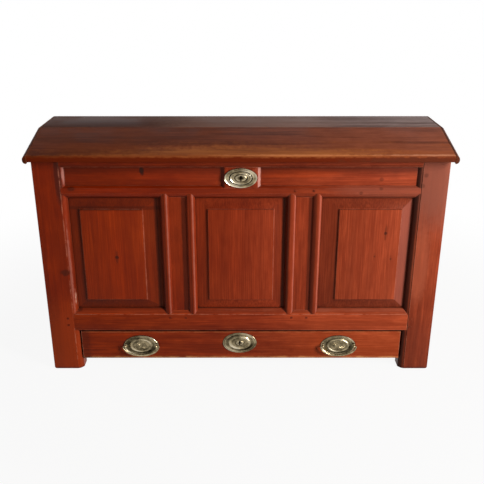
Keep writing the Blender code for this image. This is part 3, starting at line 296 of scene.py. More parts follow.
barePine = dict(
    redPolish,
    deep=(0.190, 0.095, 0.042),
    body=(0.320, 0.175, 0.082),
    pale=(0.440, 0.270, 0.140),
    faded=(0.400, 0.240, 0.125),
    worn=(0.520, 0.340, 0.190),
    dirt=(0.050, 0.028, 0.015),
    rough=(0.62, 0.80),
    gloss=0.06,
    tint=(1.0, 0.9, 0.8),
    wear=0.35,
    grime=0.7,
    bump=0.16,
)


# one wood material for one board, with the pith set behind its face
def woodFinish(name, look, grain, pith, tone=1.0, marks=(), warm=1.0, wear=1.0):
    finish = bpy.data.materials.new(name)
    finish.use_nodes = True
    tree = finish.node_tree
    shader = tree.nodes["Principled BSDF"]
    raw = addNode(tree, "ShaderNodeTexCoord").outputs["Object"]
    turned = addNode(tree, "ShaderNodeMapping", {"Vector": raw, "Rotation": grainTurn[grain], "Location": pith}).outputs[0]
    figure = place(tree, pineFigure, {"Vector": turned})
    faded = place(tree, patina, {"Vector": turned})
    rubbed = place(tree, arrisWear, {"Vector": raw, "Amount": look["wear"] * wear})
    grimeAndShadeMask = place(tree, cornerDirt, {"Vector": raw, "Amount": look["grime"]})

    shift = (tone, tone * warm, tone * warm)
    shaded = [tuple(c * f for c, f in zip(look[key], shift)) + (1.0,) for key in ("deep", "body", "pale", "worn", "faded")]
    streaks = remap(tree, figure["Streak"], look["streaks"][0], look["streaks"][1], look["plain"], 1.0)
    colour = blend(tree, streaks, shaded[0], shaded[1])
    colour = blend(tree, calc(tree, "MULTIPLY", faded["Tone"], 0.42), colour, shaded[2])
    # painted sheen: the colour turns paler towards +X, the side of the window light
    across = addNode(tree, "ShaderNodeSeparateXYZ", {"Vector": raw}).outputs["X"]
    sheenShare = remap(tree, calc(tree, "ADD", across, calc(tree, "MULTIPLY", faded["Tone"], 0.10)), -0.35, 0.62, 0.0, 0.85)
    sheenColours = [tuple(c * f for c in shaded[4][:3]) + (1.0,) for f in look["spread"]]
    colour = blend(tree, sheenShare, colour, blend(tree, streaks, sheenColours[0], sheenColours[1]))  # painted sheen on the side towards the window light
    mottled = remap(tree, noise(tree, stretch(tree, turned, (1.0, 1.0, 0.35)), 58.0, 4.0, 0.62), 0.30, 0.68, look["mottle"], 0.0)
    colour = blend(tree, mottled, colour, shaded[0])
    ringShare = calc(tree, "MULTIPLY", calc(tree, "POWER", figure["Rings"], 3.0), look["rings"])
    colour = blend(tree, ringShare, colour, shaded[0])
    fibreShare = remap(tree, figure["Fibre"], 0.35, 0.70, look["fibre"], 0.0)
    colour = blend(tree, fibreShare, colour, shaded[0])
    # painted shade and sheen on the margins and steps of fielded panels, darker or paler by the way each face turns to
    # the light
    lean = addNode(tree, "ShaderNodeAttribute", attribute_name="shade").outputs["Fac"]
    colour = blend(tree, calc(tree, "MULTIPLY", lean, -1.0, True), colour, look["recess"] + (1.0,))
    colour = blend(tree, calc(tree, "MAXIMUM", lean, 0.0), colour, look["bloom"] + (1.0,))
    for mark in marks:
        colour = addMark(tree, raw, colour, mark)
    colour = blend(tree, rubbed["Mask"], colour, shaded[3])
    # painted shade and dirt in corners and along joints
    colour = blend(tree, grimeAndShadeMask["Mask"], colour, look["dirt"] + (1.0,))
    tree.links.new(colour, shader.inputs["Base Color"])

    gloss = remap(tree, faded["Tone"], 0.0, 1.0, look["rough"][0], look["rough"][1])
    gloss = calc(tree, "ADD", gloss, calc(tree, "MULTIPLY", grimeAndShadeMask["Mask"], 0.25), True)
    tree.links.new(gloss, shader.inputs["Roughness"])
    shader.inputs["Specular IOR Level"].default_value = look["gloss"]
    shader.inputs["Specular Tint"].default_value = look["tint"] + (1.0,)

    relief = calc(tree, "ADD", figure["Fibre"], calc(tree, "MULTIPLY", figure["Rings"], 0.4))
    bump = addNode(tree, "ShaderNodeBump", {"Strength": look["bump"], "Distance": 0.0006, "Height": relief})
    tree.links.new(bump.outputs[0], shader.inputs["Normal"])
    return finish


# a knot, stain or chip at one place on a board
def addMark(tree, raw, colour, mark):
    moved = addNode(tree, "ShaderNodeVectorMath", {0: raw, 1: mark["at"]}, operation="SUBTRACT").outputs[0]
    drawn = stretch(tree, moved, mark["stretch"])
    wobble = noise(tree, raw, 70.0, 3.0, 0.6)
    away = addNode(tree, "ShaderNodeVectorMath", {0: drawn}, operation="LENGTH").outputs["Value"]
    away = calc(tree, "ADD", away, calc(tree, "MULTIPLY", calc(tree, "SUBTRACT", wobble, 0.5), mark["size"] * mark.get("ragged", 0.9)))
    share = remap(tree, away, mark["size"] * 0.45, mark["size"], mark["share"], 0.0)
    if "patch" in mark:
        drift = stretch(tree, raw, mark.get("drift", (1.0, 1.0, 1.0)))
        share = calc(tree, "MULTIPLY", share, remap(tree, noise(tree, drift, mark["patch"], 4.0, 0.6), 0.34, 0.64, 0.15, 1.0))
    return blend(tree, share, colour, mark["colour"] + (1.0,))


def metalFinish(name, look):
    finish = bpy.data.materials.new(name)
    finish.use_nodes = True
    tree = finish.node_tree
    shader = tree.nodes["Principled BSDF"]
    raw = addNode(tree, "ShaderNodeTexCoord").outputs["Object"]
    blotch = remap(tree, noise(tree, raw, look["blotch"], 5.0, 0.62), 0.35, 0.68)
    grimeAndShadeMask = place(tree, cornerDirt, {"Vector": raw, "Reach": look["reach"], "Amount": look["grime"]})
    rubbed = place(tree, arrisWear, {"Vector": raw, "Radius": 0.0008, "Amount": look["wear"]})
    colour = blend(tree, blotch, look["dull"] + (1.0,), look["bright"] + (1.0,))
    colour = blend(tree, rubbed["Mask"], colour, look["worn"] + (1.0,))
    # tarnish holds the tarnish and polish of each ring, with a painted highlight and shade leaning across the plate
    tarnish = addNode(tree, "ShaderNodeAttribute", attribute_name="tarnish").outputs["Fac"]
    colour = blend(tree, calc(tree, "MULTIPLY", tarnish, -1.0, True), colour, look["worn"] + (1.0,))
    tarnish = calc(tree, "MULTIPLY", tarnish, remap(tree, blotch, 0.0, 1.0, 1.0, 0.8))
    # tarnished hollows, with painted shade and dirt in the corners
    sunk = calc(tree, "MAXIMUM", grimeAndShadeMask["Mask"], tarnish)
    colour = blend(tree, sunk, colour, look["dirt"] + (1.0,))
    tree.links.new(colour, shader.inputs["Base Color"])
    rough = remap(tree, blotch, 0.0, 1.0, look["rough"][1], look["rough"][0])
    tree.links.new(calc(tree, "ADD", rough, calc(tree, "MULTIPLY", sunk, 0.25), True), shader.inputs["Roughness"])
    shader.inputs["Metallic"].default_value = look["metal"]
    scratches = noise(tree, stretch(tree, raw, (1.0, 1.0, 3.0)), 900.0, 3.0, 0.6)
    bump = addNode(tree, "ShaderNodeBump", {"Strength": look["bump"], "Distance": 0.0003, "Height": scratches})
    tree.links.new(bump.outputs[0], shader.inputs["Normal"])
    return finish


oldBrass = {
    "dull": (0.150, 0.118, 0.064),
    "bright": (0.400, 0.320, 0.188),
    "worn": (0.850, 0.760, 0.580),
    "dirt": (0.012, 0.008, 0.003),
    "rough": (0.16, 0.30),
    "metal": 1.0,
    "blotch": 90.0,
    "reach": 0.005,
    "grime": 0.9,
    "wear": 0.6,
    "bump": 0.05,
}

oldIron = {
    "dull": (0.060, 0.034, 0.022),
    "bright": (0.085, 0.078, 0.072),
    "worn": (0.22, 0.20, 0.18),
    "dirt": (0.020, 0.012, 0.008),
    "rough": (0.42, 0.68),
    "metal": 0.85,
    "blotch": 60.0,
    "reach": 0.005,
    "grime": 0.7,
    "wear": 0.5,
    "bump": 0.30,
}

brassFinish = metalFinish("oldBrass", oldBrass)
ironFinish = metalFinish("oldIron", oldIron)
print("metal finishes made")


def pieceName(node):
    words = node.split("_")
    return words[0] + "".join(word.capitalize() for word in words[1:])


def selectOnly(piece):
    bpy.ops.object.select_all(action="DESELECT")
    piece.select_set(True)
    bpy.context.view_layer.objects.active = piece


# the outer lower corner of a foot, worn round by sliding over floors
def roundFoot(board, foot):
    bpy.ops.mesh.select_all(action="DESELECT")
    bpy.ops.object.mode_set(mode="OBJECT")
    points = board.data.vertices
    reach = max(abs(point.co.x) for point in points)
    for edge in board.data.edges:
        ends = [points[i].co for i in edge.vertices]
        edge.select = all(end.z < 0.0002 and abs(end.x) > reach - 0.0002 for end in ends)
    bpy.ops.object.mode_set(mode="EDIT")
    bpy.ops.mesh.bevel(offset=foot, segments=3, profile=0.5, affect="EDGES")


boardEase = {"width": 0.0009, "shortest": 0.014, "shown": 0.06, "pithDepth": 0.085}


# how far the triangles of a mesh overlap, which shows a face folded by the bevel
def foldShare(board):
    board.data.calc_loop_triangles()
    flat = sum(side.area for side in board.data.polygons)
    return abs(sum(part.area for part in board.data.loop_triangles) - flat) / flat


# of the sharp edges, the long ones are kept; with "shown" only those on the outside of the chest
def chooseArrises(board, shortest, choice):
    points = board.data.vertices
    for side in board.data.polygons:
        side.select = False  # a selected face would take all its edges back in
    for edge in board.data.edges:
        ends = [points[i].co for i in edge.vertices]
        long = (ends[0] - ends[1]).length >= (shortest if choice == "all" else boardEase["shown"])
        outside = all(end.y < -0.2055 or end.y > 0.2200 or abs(end.x) > 0.5425 for end in ends)
        edge.select = edge.select and long and choice != "none" and (outside or choice == "all")


def copyOfNode(node):
    source = frame["nodes"][node]
    board = source.copy()
    board.data = source.data.copy()
    board.name = board.data.name = pieceName(node)
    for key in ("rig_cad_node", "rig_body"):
        if key in board:
            del board[key]
    board.parent = None
    scene.collection.objects.link(board)
    selectOnly(board)
    bpy.ops.mesh.customdata_custom_splitnormals_clear()
    bpy.ops.object.mode_set(mode="EDIT")
    bpy.ops.mesh.select_all(action="SELECT")
    bpy.ops.mesh.remove_doubles(threshold=0.00001)
    return board


# a copy of a board with its long arrises eased, standing for the CAD node; fewer are eased where a face would fold
def easedBoard(node, ease, shortest, foot=0.0):
    for choice in ("all", "shown", "none"):
        board = copyOfNode(node)
        bpy.ops.mesh.select_mode(type="EDGE")
        bpy.ops.mesh.select_all(action="SELECT")
        bpy.ops.mesh.dissolve_limited(angle_limit=math.radians(0.6))
        if foot:
            roundFoot(board, foot)
        bpy.ops.mesh.select_all(action="DESELECT")
        bpy.ops.mesh.edges_select_sharp(sharpness=math.radians(38))
        bpy.ops.object.mode_set(mode="OBJECT")
        chooseArrises(board, shortest, choice)
        if choice != "none":
            bpy.ops.object.mode_set(mode="EDIT")
            bpy.ops.mesh.bevel(offset=ease, segments=2, profile=0.6, affect="EDGES", clamp_overlap=False)
            bpy.ops.object.mode_set(mode="OBJECT")
        if foldShare(board) < 0.0008 or choice == "none":
            break
        bpy.ops.object.delete()
    arris = board.data.attributes.new("arris", "FLOAT", "FACE")
    for side in board.data.polygons:
        corners = [board.data.vertices[i].co for i in side.vertices]
        longest = max((corners[i] - corners[i - 1]).length for i in range(len(corners)))
        narrow = side.area / longest < 1.4 * ease  # only the strips that the bevel made
        arris.data[side.index].value = 1.0 if side.select and narrow else 0.0
    bpy.ops.object.shade_smooth_by_angle(angle=math.radians(34))
    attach(board, bodyOfNode[node])
    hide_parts(node)
    return board


# painted shade and light on the sides of a fielded panel, darker or paler face by face by the way each turns to the
# light, so that the mitres stay crisp
stepShade = {"left": -0.85, "right": 0.10, "head": -0.70, "foot": -0.75}


def shadeSides(panel, sides):
    shade = panel.data.attributes.new("shade", "FLOAT", "FACE")
    arris = panel.data.attributes["arris"]
    for side in panel.data.polygons:
        across, forward, upward = side.normal
        if max(abs(across), abs(upward)) < 0.1 or forward > 0.1:
            continue
        # the paler wear on the arrises stays strongest on the right-facing sides: a painted highlight where the light
        # catches them
        if abs(across) > abs(upward):
            facing = "left" if across < 0.0 else "right"
            arris.data[side.index].value *= 0.15 if across < 0.0 else 0.5
        else:
            facing = "foot" if upward < 0.0 else "head"
            arris.data[side.index].value *= 0.15
        if forward < -0.9:
            shade.data[side.index].value = sides[facing]
        elif forward > -0.55:
            shade.data[side.index].value = stepShade[facing]


knotColour = (0.020, 0.005, 0.003)
sootColour = (0.008, 0.004, 0.003)
lineColour = (0.026, 0.0032, 0.0010)
lineAlong = (0.0, 1.0, 1.0)  # a mark drawn out along the whole board


# painted shadow and grime on the frieze under the overhang of the lid
underLidShade = {"at": (0.0, -0.2008, 0.6180), "stretch": (0.0, 0.3, 1.0), "size": 0.036, "share": 0.5, "colour": (0.040, 0.0035, 0.0010), "ragged": 0.3}


# a painted highlight: a paler strip along an upright moulding, where the light catches it
def paintedHighlightStrip(x, y, size=0.0046, share=0.36, z=0.30, taper=0.0):
    return {"at": (x, y, z), "stretch": (1.0, 0.3, taper), "size": size, "share": share, "colour": (0.480, 0.190, 0.140)}


# a small knot with the streak that the grain makes above and below it
def smallKnot(x, z, size, share):
    at = (x, -0.2048, z)
    core = {"at": at, "stretch": (1.0, 1.0, 1.0), "size": size, "share": share, "colour": knotColour, "ragged": 1.3}
    return [core, {"at": at, "stretch": (1.0, 0.3, 0.17), "size": size * 0.8, "share": share * 0.5, "colour": knotColour, "ragged": 1.1}]


# a shadowed line beside a moulding or along a joint
def darkUpright(x, size, share):
    return {"at": (x, -0.2050, 0.35), "stretch": (1.0, 0.3, 0.0), "size": size, "share": share, "colour": lineColour, "ragged": 0.4}


def darkLevel(z, size, share):
    return {"at": (0.0, -0.2050, z), "stretch": (0.0, 0.3, 1.0), "size": size, "share": share, "colour": lineColour, "ragged": 0.4}


boards = {
    "left_front_post": {
        "look": redPolish,
        "grain": "Z",
        "tone": 0.93,
        "ease": 0.0014,
        "foot": 0.007,
        "marks": [
            {"at": (-0.4835, -0.2103, 0.580), "stretch": (1.0, 0.3, 0.14), "size": 0.014, "share": 0.72, "colour": (0.022, 0.0050, 0.0040), "ragged": 0.4},
            # a painted highlight on the moulding at the frieze
            {"at": (-0.4700, -0.2050, 0.590), "stretch": (1.0, 0.3, 0.15), "size": 0.0050, "share": 0.60, "colour": (0.360, 0.165, 0.135), "ragged": 0.5},
            paintedHighlightStrip(-0.4745, -0.2050, 0.0040, 0.26, 0.30, 0.019), darkUpright(-0.4655, 0.0045, 0.45),
            {"at": (-0.4900, -0.2103, 0.060), "stretch": (0.0, 0.0, 0.25), "size": 0.05, "share": 0.4, "colour": (0.290, 0.038, 0.0070), "ragged": 0.2},
            {"at": (-0.4690, -0.2050, 0.232), "stretch": (1.0, 0.3, 0.10), "size": 0.0028, "share": 0.55, "colour": (0.560, 0.340, 0.250), "patch": 260.0},
            {"at": (-0.4890, -0.2103, 0.310), "stretch": (0.7, 1.0, 1.0), "size": 0.013, "share": 0.6, "colour": knotColour},
        ],
    },
    "right_front_post": {
        "look": redPolish,
        "grain": "Z",
        "tone": 0.90,
        "ease": 0.0014,
        "foot": 0.007,
        "marks": [
            # a painted sheen over the upper part of the post
            {"at": (0.4900, -0.2103, 0.660), "stretch": (0.0, 0.0, 0.25), "size": 0.070, "share": 0.8, "colour": (0.188, 0.058, 0.037), "ragged": 0.25},
            {"at": (0.4930, -0.2103, 0.330), "stretch": (1.2, 0.0, 0.30), "size": 0.045, "share": 0.42, "colour": (0.370, 0.090, 0.044), "ragged": 0.3},
            {"at": (0.5100, -0.2103, 0.045), "stretch": (0.0, 0.0, 0.30), "size": 0.045, "share": 0.40, "colour": (0.120, 0.0200, 0.0090), "ragged": 0.4},
            darkUpright(0.4700, 0.0085, 0.70), darkUpright(0.4650, 0.0040, 0.80),
            {"at": (0.4895, -0.2103, 0.589), "stretch": (1.0, 1.0, 1.0), "size": 0.008, "share": 0.42, "colour": knotColour},
            {"at": (0.4820, -0.2103, 0.560), "stretch": (1.0, 1.0, 1.0), "size": 0.007, "share": 0.42, "colour": knotColour},
        ],
    },
    "left_back_post": {"look": redPolish, "grain": "Z", "tone": 0.78},
    "right_back_post": {"look": redPolish, "grain": "Z", "tone": 0.78},
    "front_top_rail": {"look": redPolish, "grain": "X", "marks": [darkLevel(0.6125, 0.0060, 0.45)]},
    "front_middle_rail": {
        "look": redPolish,
        "grain": "X",
        "wear": 0.2,
        "marks": [
            darkLevel(0.5232, 0.0055, 0.50),
            {"at": (-0.4521, -0.2093, 0.5527), "stretch": (0.6, 1.0, 1.0), "size": 0.009, "share": 0.55, "colour": sootColour},
            # a painted sheen towards the right end of the rail
            {"at": (0.42, -0.2093, 0.5520), "stretch": (0.2, 0.3, 1.0), "size": 0.045, "share": 0.5, "colour": (0.200, 0.055, 0.033), "ragged": 0.2},
            {"at": (0.3726, -0.2093, 0.5534), "stretch": (1.0, 1.0, 1.0), "size": 0.007, "share": 0.42, "colour": knotColour},
            {"at": (0.3203, -0.2093, 0.5395), "stretch": (1.0, 1.0, 1.0), "size": 0.007, "share": 0.42, "colour": knotColour},
        ],
    },
    "front_bottom_rail": {
        "look": railPolish,
        "grain": "X",
        "tone": 1.16,
        "warm": 1.12,
        "marks": [
            # paler towards the right end: painted light
            {"at": (0.40, -0.2093, 0.160), "stretch": (0.10, 0.0, 0.0), "size": 0.037, "share": 0.26, "colour": (0.332, 0.050, 0.0130), "ragged": 0.3},
            darkLevel(0.1950, 0.0050, 0.60),
            {"at": (0.30, -0.2050, 0.1895), "stretch": (0.012, 0.3, 1.0), "size": 0.0055, "share": 0.20, "colour": (0.400, 0.170, 0.110), "patch": 46.0, "drift": (0.35, 1.0, 1.0)},
            {"at": (0.0, -0.2050, 0.1885), "stretch": (0.0, 0.3, 1.0), "size": 0.0085, "share": 0.42, "colour": (0.120, 0.0170, 0.0050), "ragged": 1.2},
            *[{"at": (x, -0.2050, 0.1925), "stretch": (0.8, 0.3, 1.0), "size": 0.0080, "share": 0.6, "colour": lineColour} for x in (-0.4600, -0.2020, -0.1310, 0.1430, 0.2120)],
        ],
    },
    "left_muntin": {
        "look": redPolish,
        "grain": "Z",
        "tone": 0.94,
        "marks": [paintedHighlightStrip(-0.2000, -0.2085, 0.0028, 0.26), paintedHighlightStrip(-0.1300, -0.2085, 0.0028, 0.26), darkUpright(-0.1560, 0.0075, 0.75), darkUpright(-0.1375, 0.0032, 0.50), darkUpright(-0.2075, 0.0032, 0.50)],
    },
    "right_muntin": {
        "look": redPolish,
        "grain": "Z",
        "marks": [paintedHighlightStrip(0.1460, -0.2085, 0.0028, 0.24), paintedHighlightStrip(0.2145, -0.2085, 0.0028, 0.26), darkUpright(0.1884, 0.0065, 0.65), darkUpright(0.1290, 0.0055, 0.55), darkUpright(0.2010, 0.0050, 0.55)],
    },
    # the paler strip along the block's right edge is a painted highlight
    "lock_block": {"look": redPolish, "grain": "Z", "marks": [{"at": (0.0485, -0.2055, 0.585), "stretch": (1.0, 0.3, 0.0), "size": 0.0046, "share": 0.62, "colour": (0.470, 0.250, 0.210)}]},
    "left_frieze_panel": {
        "look": redPolish,
        "grain": "X",
        "tone": 0.98,
        "marks": [underLidShade, {"at": (-0.2619, -0.2008, 0.5985), "stretch": (1.4, 1.0, 0.75), "size": 0.011, "share": 0.85, "colour": sootColour, "ragged": 1.3}],
    },
    "right_frieze_panel": {
        "look": redPolish,
        "grain": "X",
        "tone": 1.06,
        "marks": [
            {"at": (0.15, -0.2008, 0.5900), "stretch": (0.10, 0.3, 1.0), "size": 0.016, "share": 0.5, "colour": (0.380, 0.046, 0.0085), "patch": 60.0, "drift": (0.08, 1.0, 1.0)},
            underLidShade, {"at": (0.3736, -0.2008, 0.5754), "stretch": (1.0, 1.0, 1.0), "size": 0.008, "share": 0.42, "colour": knotColour},
        ],
    },
    "left_front_panel": {
        "look": panelPolish,
        "grain": "Z",
        "tone": 1.23,
        "warm": 1.17,
        "ease": 0.0014,
        "sides": {"left": -0.46, "right": -0.38, "head": -0.54, "foot": -0.63},
        "marks": [
            *smallKnot(-0.3438, 0.3534, 0.0066, 0.75),
            darkUpright(-0.2305, 0.0070, 0.75), darkLevel(0.4950, 0.0080, 0.45),
        ],
    },
    "centre_front_panel": {"look": panelPolish, "grain": "Z", "tone": 1.03, "ease": 0.0014, "sides": {"left": -0.16, "right": -0.28, "head": -0.22, "foot": -0.10}, "marks": [darkUpright(0.1165, 0.0065, 0.80)]},
    "right_front_panel": {
        "look": panelPolish,
        "grain": "Z",
        "ease": 0.0014,
        "tone": 1.16,
        "warm": 1.08,
        "sides": {"left": -0.44, "right": 0.62, "head": -0.46, "foot": -0.55},
        "marks": [*smallKnot(0.3958, 0.4245, 0.0060, 0.72), *smallKnot(0.4150, 0.3480, 0.0036, 0.5), *smallKnot(0.3700, 0.3560, 0.0034, 0.45)],
    },
    "left_end_top_rail": {"look": redPolish, "grain": "Y", "tone": 0.78},
    "left_end_bottom_rail": {"look": redPolish, "grain": "Y", "tone": 0.78},
    "left_end_panel": {"look": redPolish, "grain": "Z", "tone": 0.78},
    "right_end_top_rail": {"look": redPolish, "grain": "Y", "tone": 0.78},
    "right_end_bottom_rail": {"look": redPolish, "grain": "Y", "tone": 0.78},
    "right_end_panel": {"look": redPolish, "grain": "Z", "tone": 0.78},
    "lid_front_board": {
        "look": lidPolish,
        "grain": "X",
        "marks": [
            # painted highlight along the eave arris, in the marks at z 0.650 and 0.652
            {"at": (0.25, -0.2335, 0.6500), "stretch": (0.020, 0.0, 1.0), "size": 0.021, "share": 0.5, "colour": (0.285, 0.070, 0.017), "patch": 60.0, "drift": (0.06, 1.0, 1.0)},
            {"at": (0.02, -0.2335, 0.6500), "stretch": (0.03, 0.0, 1.0), "size": 0.014, "share": 0.55, "colour": (0.400, 0.130, 0.035), "patch": 60.0, "drift": (0.06, 1.0, 1.0)},
            {"at": (0.0, -0.2400, 0.6340), "stretch": lineAlong, "size": 0.0165, "share": 0.95, "colour": (0.100, 0.0110, 0.0024)},
            {"at": (0.48, -0.2400, 0.6340), "stretch": (0.06, 1.0, 1.0), "size": 0.0165, "share": 0.8, "colour": (0.085, 0.0200, 0.0090)},
            # painted highlight along the eave arris
            {"at": (0.20, -0.2335, 0.6520), "stretch": (0.006, 1.0, 1.0), "size": 0.0062, "share": 0.5, "colour": (0.330, 0.080, 0.018)},
            {"at": (0.16, -0.2335, 0.6520), "stretch": (0.022, 1.0, 1.0), "size": 0.0068, "share": 0.8, "colour": (0.530, 0.185, 0.066)},
            {"at": (0.50, -0.2335, 0.6520), "stretch": (0.030, 1.0, 1.0), "size": 0.0066, "share": 0.7, "colour": (0.500, 0.210, 0.115)},
        ],
    },
    "lid_top_board": {
        "look": topPolish,
        "grain": "X",
        # a paler greyish band along the top: painted sheen
        "marks": [{"at": (0.03, 0.0, 0.6878), "stretch": (0.2, 0.0, 0.0), "size": 0.060, "share": 0.42, "colour": (0.285, 0.150, 0.110), "ragged": 0.4}],
    },
    "lid_back_board": {"look": lidPolish, "grain": "X"},
    "left_lid_end": {"look": lidPolish, "grain": "Y"},
    "right_lid_end": {"look": lidPolish, "grain": "Y"},
    "left_lid_moulding": {"look": lidPolish, "grain": "Y", "tone": 0.7},
    "right_lid_moulding": {"look": lidPolish, "grain": "Y", "tone": 0.42},
    "drawer_front": {
        "look": railPolish,
        "grain": "X",
        "tone": 1.18,
        "warm": 1.20,
        "ease": 0.0014,
        "marks": [
            # paler towards the right end: painted light
            {"at": (0.42, -0.2043, 0.075), "stretch": (0.10, 0.0, 0.0), "size": 0.037, "share": 0.28, "colour": (0.390, 0.058, 0.0110), "ragged": 0.3},
            {"at": (0.0, -0.2043, 0.1190), "stretch": lineAlong, "size": 0.0030, "share": 0.30, "colour": (0.420, 0.140, 0.050), "patch": 40.0},
            {"at": (0.0, -0.2043, 0.1235), "stretch": lineAlong, "size": 0.0042, "share": 0.80, "colour": lineColour},
            {"at": (0.0, -0.2043, 0.0345), "stretch": lineAlong, "size": 0.0052, "share": 0.75, "colour": (0.420, 0.190, 0.070), "patch": 30.0},
            # the dark line along the lower edge is a painted shadow
            {"at": (0.0, -0.2043, 0.0300), "stretch": lineAlong, "size": 0.0032, "share": 0.9, "colour": (0.050, 0.020, 0.009)},
            {"at": (-0.4620, -0.2043, 0.075), "stretch": (1.0, 0.0, 0.0), "size": 0.030, "share": 0.45, "colour": (0.030, 0.0040, 0.0015), "ragged": 0.5},
        ],
    },
    "left_drawer_side": {"look": barePine, "grain": "Y"},
    "right_drawer_side": {"look": barePine, "grain": "Y"},
    "drawer_back": {"look": barePine, "grain": "X"},
    "drawer_bottom": {"look": barePine, "grain": "X"},
    "back_top_rail": {"look": barePine, "grain": "X"},
    "back_bottom_rail": {"look": barePine, "grain": "X"},
    "back_panel": {"look": barePine, "grain": "Z"},
    "chest_floor_board": {"look": barePine, "grain": "X"},
    "left_drawer_runner": {"look": barePine, "grain": "Y"},
    "right_drawer_runner": {"look": barePine, "grain": "Y"},
}
slotOfLook = {id(redPolish): "red_wood", id(panelPolish): "red_wood", id(railPolish): "red_wood", id(lidPolish): "lid_wood", id(topPolish): "lid_wood", id(barePine): "plain_wood"}


def pithOf(node, grain, number):
    low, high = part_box(node)
    middle = (low + high) / 2
    swing = ((number * 37) % 23 - 11) / 11 * 0.06
    deep = boardEase["pithDepth"]
    along = number * 1.37
    if grain == "Z":
        return (-(middle.x + swing), -(middle.y + deep), along)
    if grain == "X":  # local x is -Z of the part, local y stays
        return (middle.z + swing, -(middle.y + deep), along)
    return (-(middle.x + deep), middle.z + swing, along)  # local y is -Z of the part


# faces towards the inside of the chest were never stained or polished
insideWays = {
    (0.0, 0.0, -1.0): ("lid_front_board", "lid_top_board", "lid_back_board"),
    (0.0, -1.0, 0.0): ("left_back_post", "right_back_post"),
    (0.0, 1.0, 0.0): ("left_front_post", "right_front_post", "front_top_rail", "front_middle_rail", "front_bottom_rail", "left_muntin", "right_muntin", "lock_block", "left_frieze_panel", "right_frieze_panel", "left_front_panel", "centre_front_panel", "right_front_panel"),
    (1.0, 0.0, 0.0): ("left_end_top_rail", "left_end_bottom_rail", "left_end_panel", "left_lid_end", "left_back_post"),
    (-1.0, 0.0, 0.0): ("right_end_top_rail", "right_end_bottom_rail", "right_end_panel", "right_lid_end", "right_back_post"),
}
insidePine = {grain: woodFinish("insidePine" + grain, barePine, grain, (0.04, 0.09, 0.0)) for grain in grainTurn}


# a post is bare only above the floor board, and only inside the end panel that stands in its groove
def partPost(post, floor):
    groove = math.copysign(0.5345, post.data.vertices[0].co.x)
    selectOnly(post)
    bpy.ops.object.mode_set(mode="EDIT")
    for spot, way in (((groove, 0.0, 0.0), (1.0, 0.0, 0.0)), ((0.0, 0.0, floor), (0.0, 0.0, 1.0))):
        bpy.ops.mesh.select_all(action="SELECT")
        bpy.ops.mesh.bisect(plane_co=spot, plane_no=way)
    bpy.ops.object.mode_set(mode="OBJECT")


def bareInside(piece, ways, grain, low=0.0):
    piece.data.materials.append(insidePine[grain])
    for side in piece.data.polygons:
        within = abs(side.center.x) < 0.538 and -0.2085 < side.center.y < 0.2200 and side.center.z > low
        if within and any(sum(a * b for a, b in zip(side.normal, way)) > 0.8 for way in ways):
            side.material_index = 1


pieces = {}
for number, (node, board) in enumerate(boards.items()):
    piece = easedBoard(node, board.get("ease", boardEase["width"]), boardEase["shortest"], board.get("foot", 0.0))
    pith = pithOf(node, board["grain"], number)
    finish = woodFinish(pieceName(node) + "Wood", board["look"], board["grain"], pith, board.get("tone", 1.0), board.get("marks", ()), board.get("warm", 1.0), board.get("wear", 1.0))
    if "sides" in board:
        shadeSides(piece, board["sides"])
    piece.data.materials.clear()
    piece.data.materials.append(finish)
    ways = [way for way, nodes in insideWays.items() if node in nodes]
    if ways:
        low = 0.0
        if node.endswith("_post"):
            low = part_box("chest_floor_board")[1].z
            partPost(piece, low)
        bareInside(piece, ways, board["grain"], low)
    slotOfLook[id(board["look"])]
    pieces[node] = piece
print("boards eased and finished:", len(pieces))


# oval brass plates: share of the oval, height in mm over the seat, and tarnish there (below nought is polish)
chestRings = [
    (1.00, 0.5, 0.70), (0.99, 2.6, 0.10), (0.975, 3.2, -0.50), (0.88, 1.0, -0.10), (0.85, 0.9, 0.05), (0.74, 3.3, -0.10),
    (0.725, 3.4, -0.30), (0.71, 2.6, 0.50), (0.695, 0.8, 1.0), (0.665, 0.8, 1.0), (0.65, 2.8, 0.30), (0.635, 3.2, -0.40),
    (0.55, 1.2, 0.0), (0.53, 1.1, 0.25), (0.45, 2.9, -0.10), (0.43, 3.0, -0.30), (0.40, 1.6, 0.70), (0.37, 1.5, 0.90),
    (0.345, 2.6, 0.20), (0.29, 3.8, -0.20), (0.22, 4.2, -0.10), (0.15, 4.1, 0.55), (0.10, 4.0, 1.0),
]
drawerRings = [
    (1.00, 0.5, 0.60), (0.985, 1.4, 0.10), (0.955, 1.7, -0.20), (0.935, 1.4, 0.35), (0.915, 1.1, 0.70), (0.895, 1.5, 0.15),
    (0.87, 1.8, -0.20), (0.82, 0.9, 0.30), (0.80, 0.8, 0.55), (0.74, 0.6, 0.65), (0.69, 0.6, 0.90), (0.615, 3.3, -0.05),
    (0.60, 3.6, -0.30), (0.58, 3.5, -0.25), (0.48, 0.5, -0.05), (0.455, 0.5, 0.40), (0.40, 1.2, 0.30), (0.30, 1.6, 0.40),
    (0.25, 1.7, 0.65), (0.21, 3.2, 0.0), (0.17, 4.2, -0.40), (0.10, 4.4, 0.10),
]
pullRings = [
    (1.00, 0.5, 0.60), (0.985, 2.0, 0.10), (0.965, 2.8, -0.30), (0.905, 0.8, -0.05), (0.86, 0.7, 0.30), (0.76, 0.7, 0.50),
    (0.70, 0.7, 0.90), (0.67, 0.8, 0.80), (0.60, 3.5, -0.10), (0.58, 3.8, -0.25), (0.56, 3.5, -0.10), (0.51, 2.0, 0.10),
    (0.48, 1.9, 0.45), (0.44, 2.1, 0.40), (0.36, 2.5, 0.15), (0.28, 2.6, 0.45), (0.20, 2.8, 0.10), (0.12, 3.0, 0.25),
]
keyhole = {"rise": 0.0040, "eye": 0.0032, "slot": 0.0017, "drop": 0.0120}
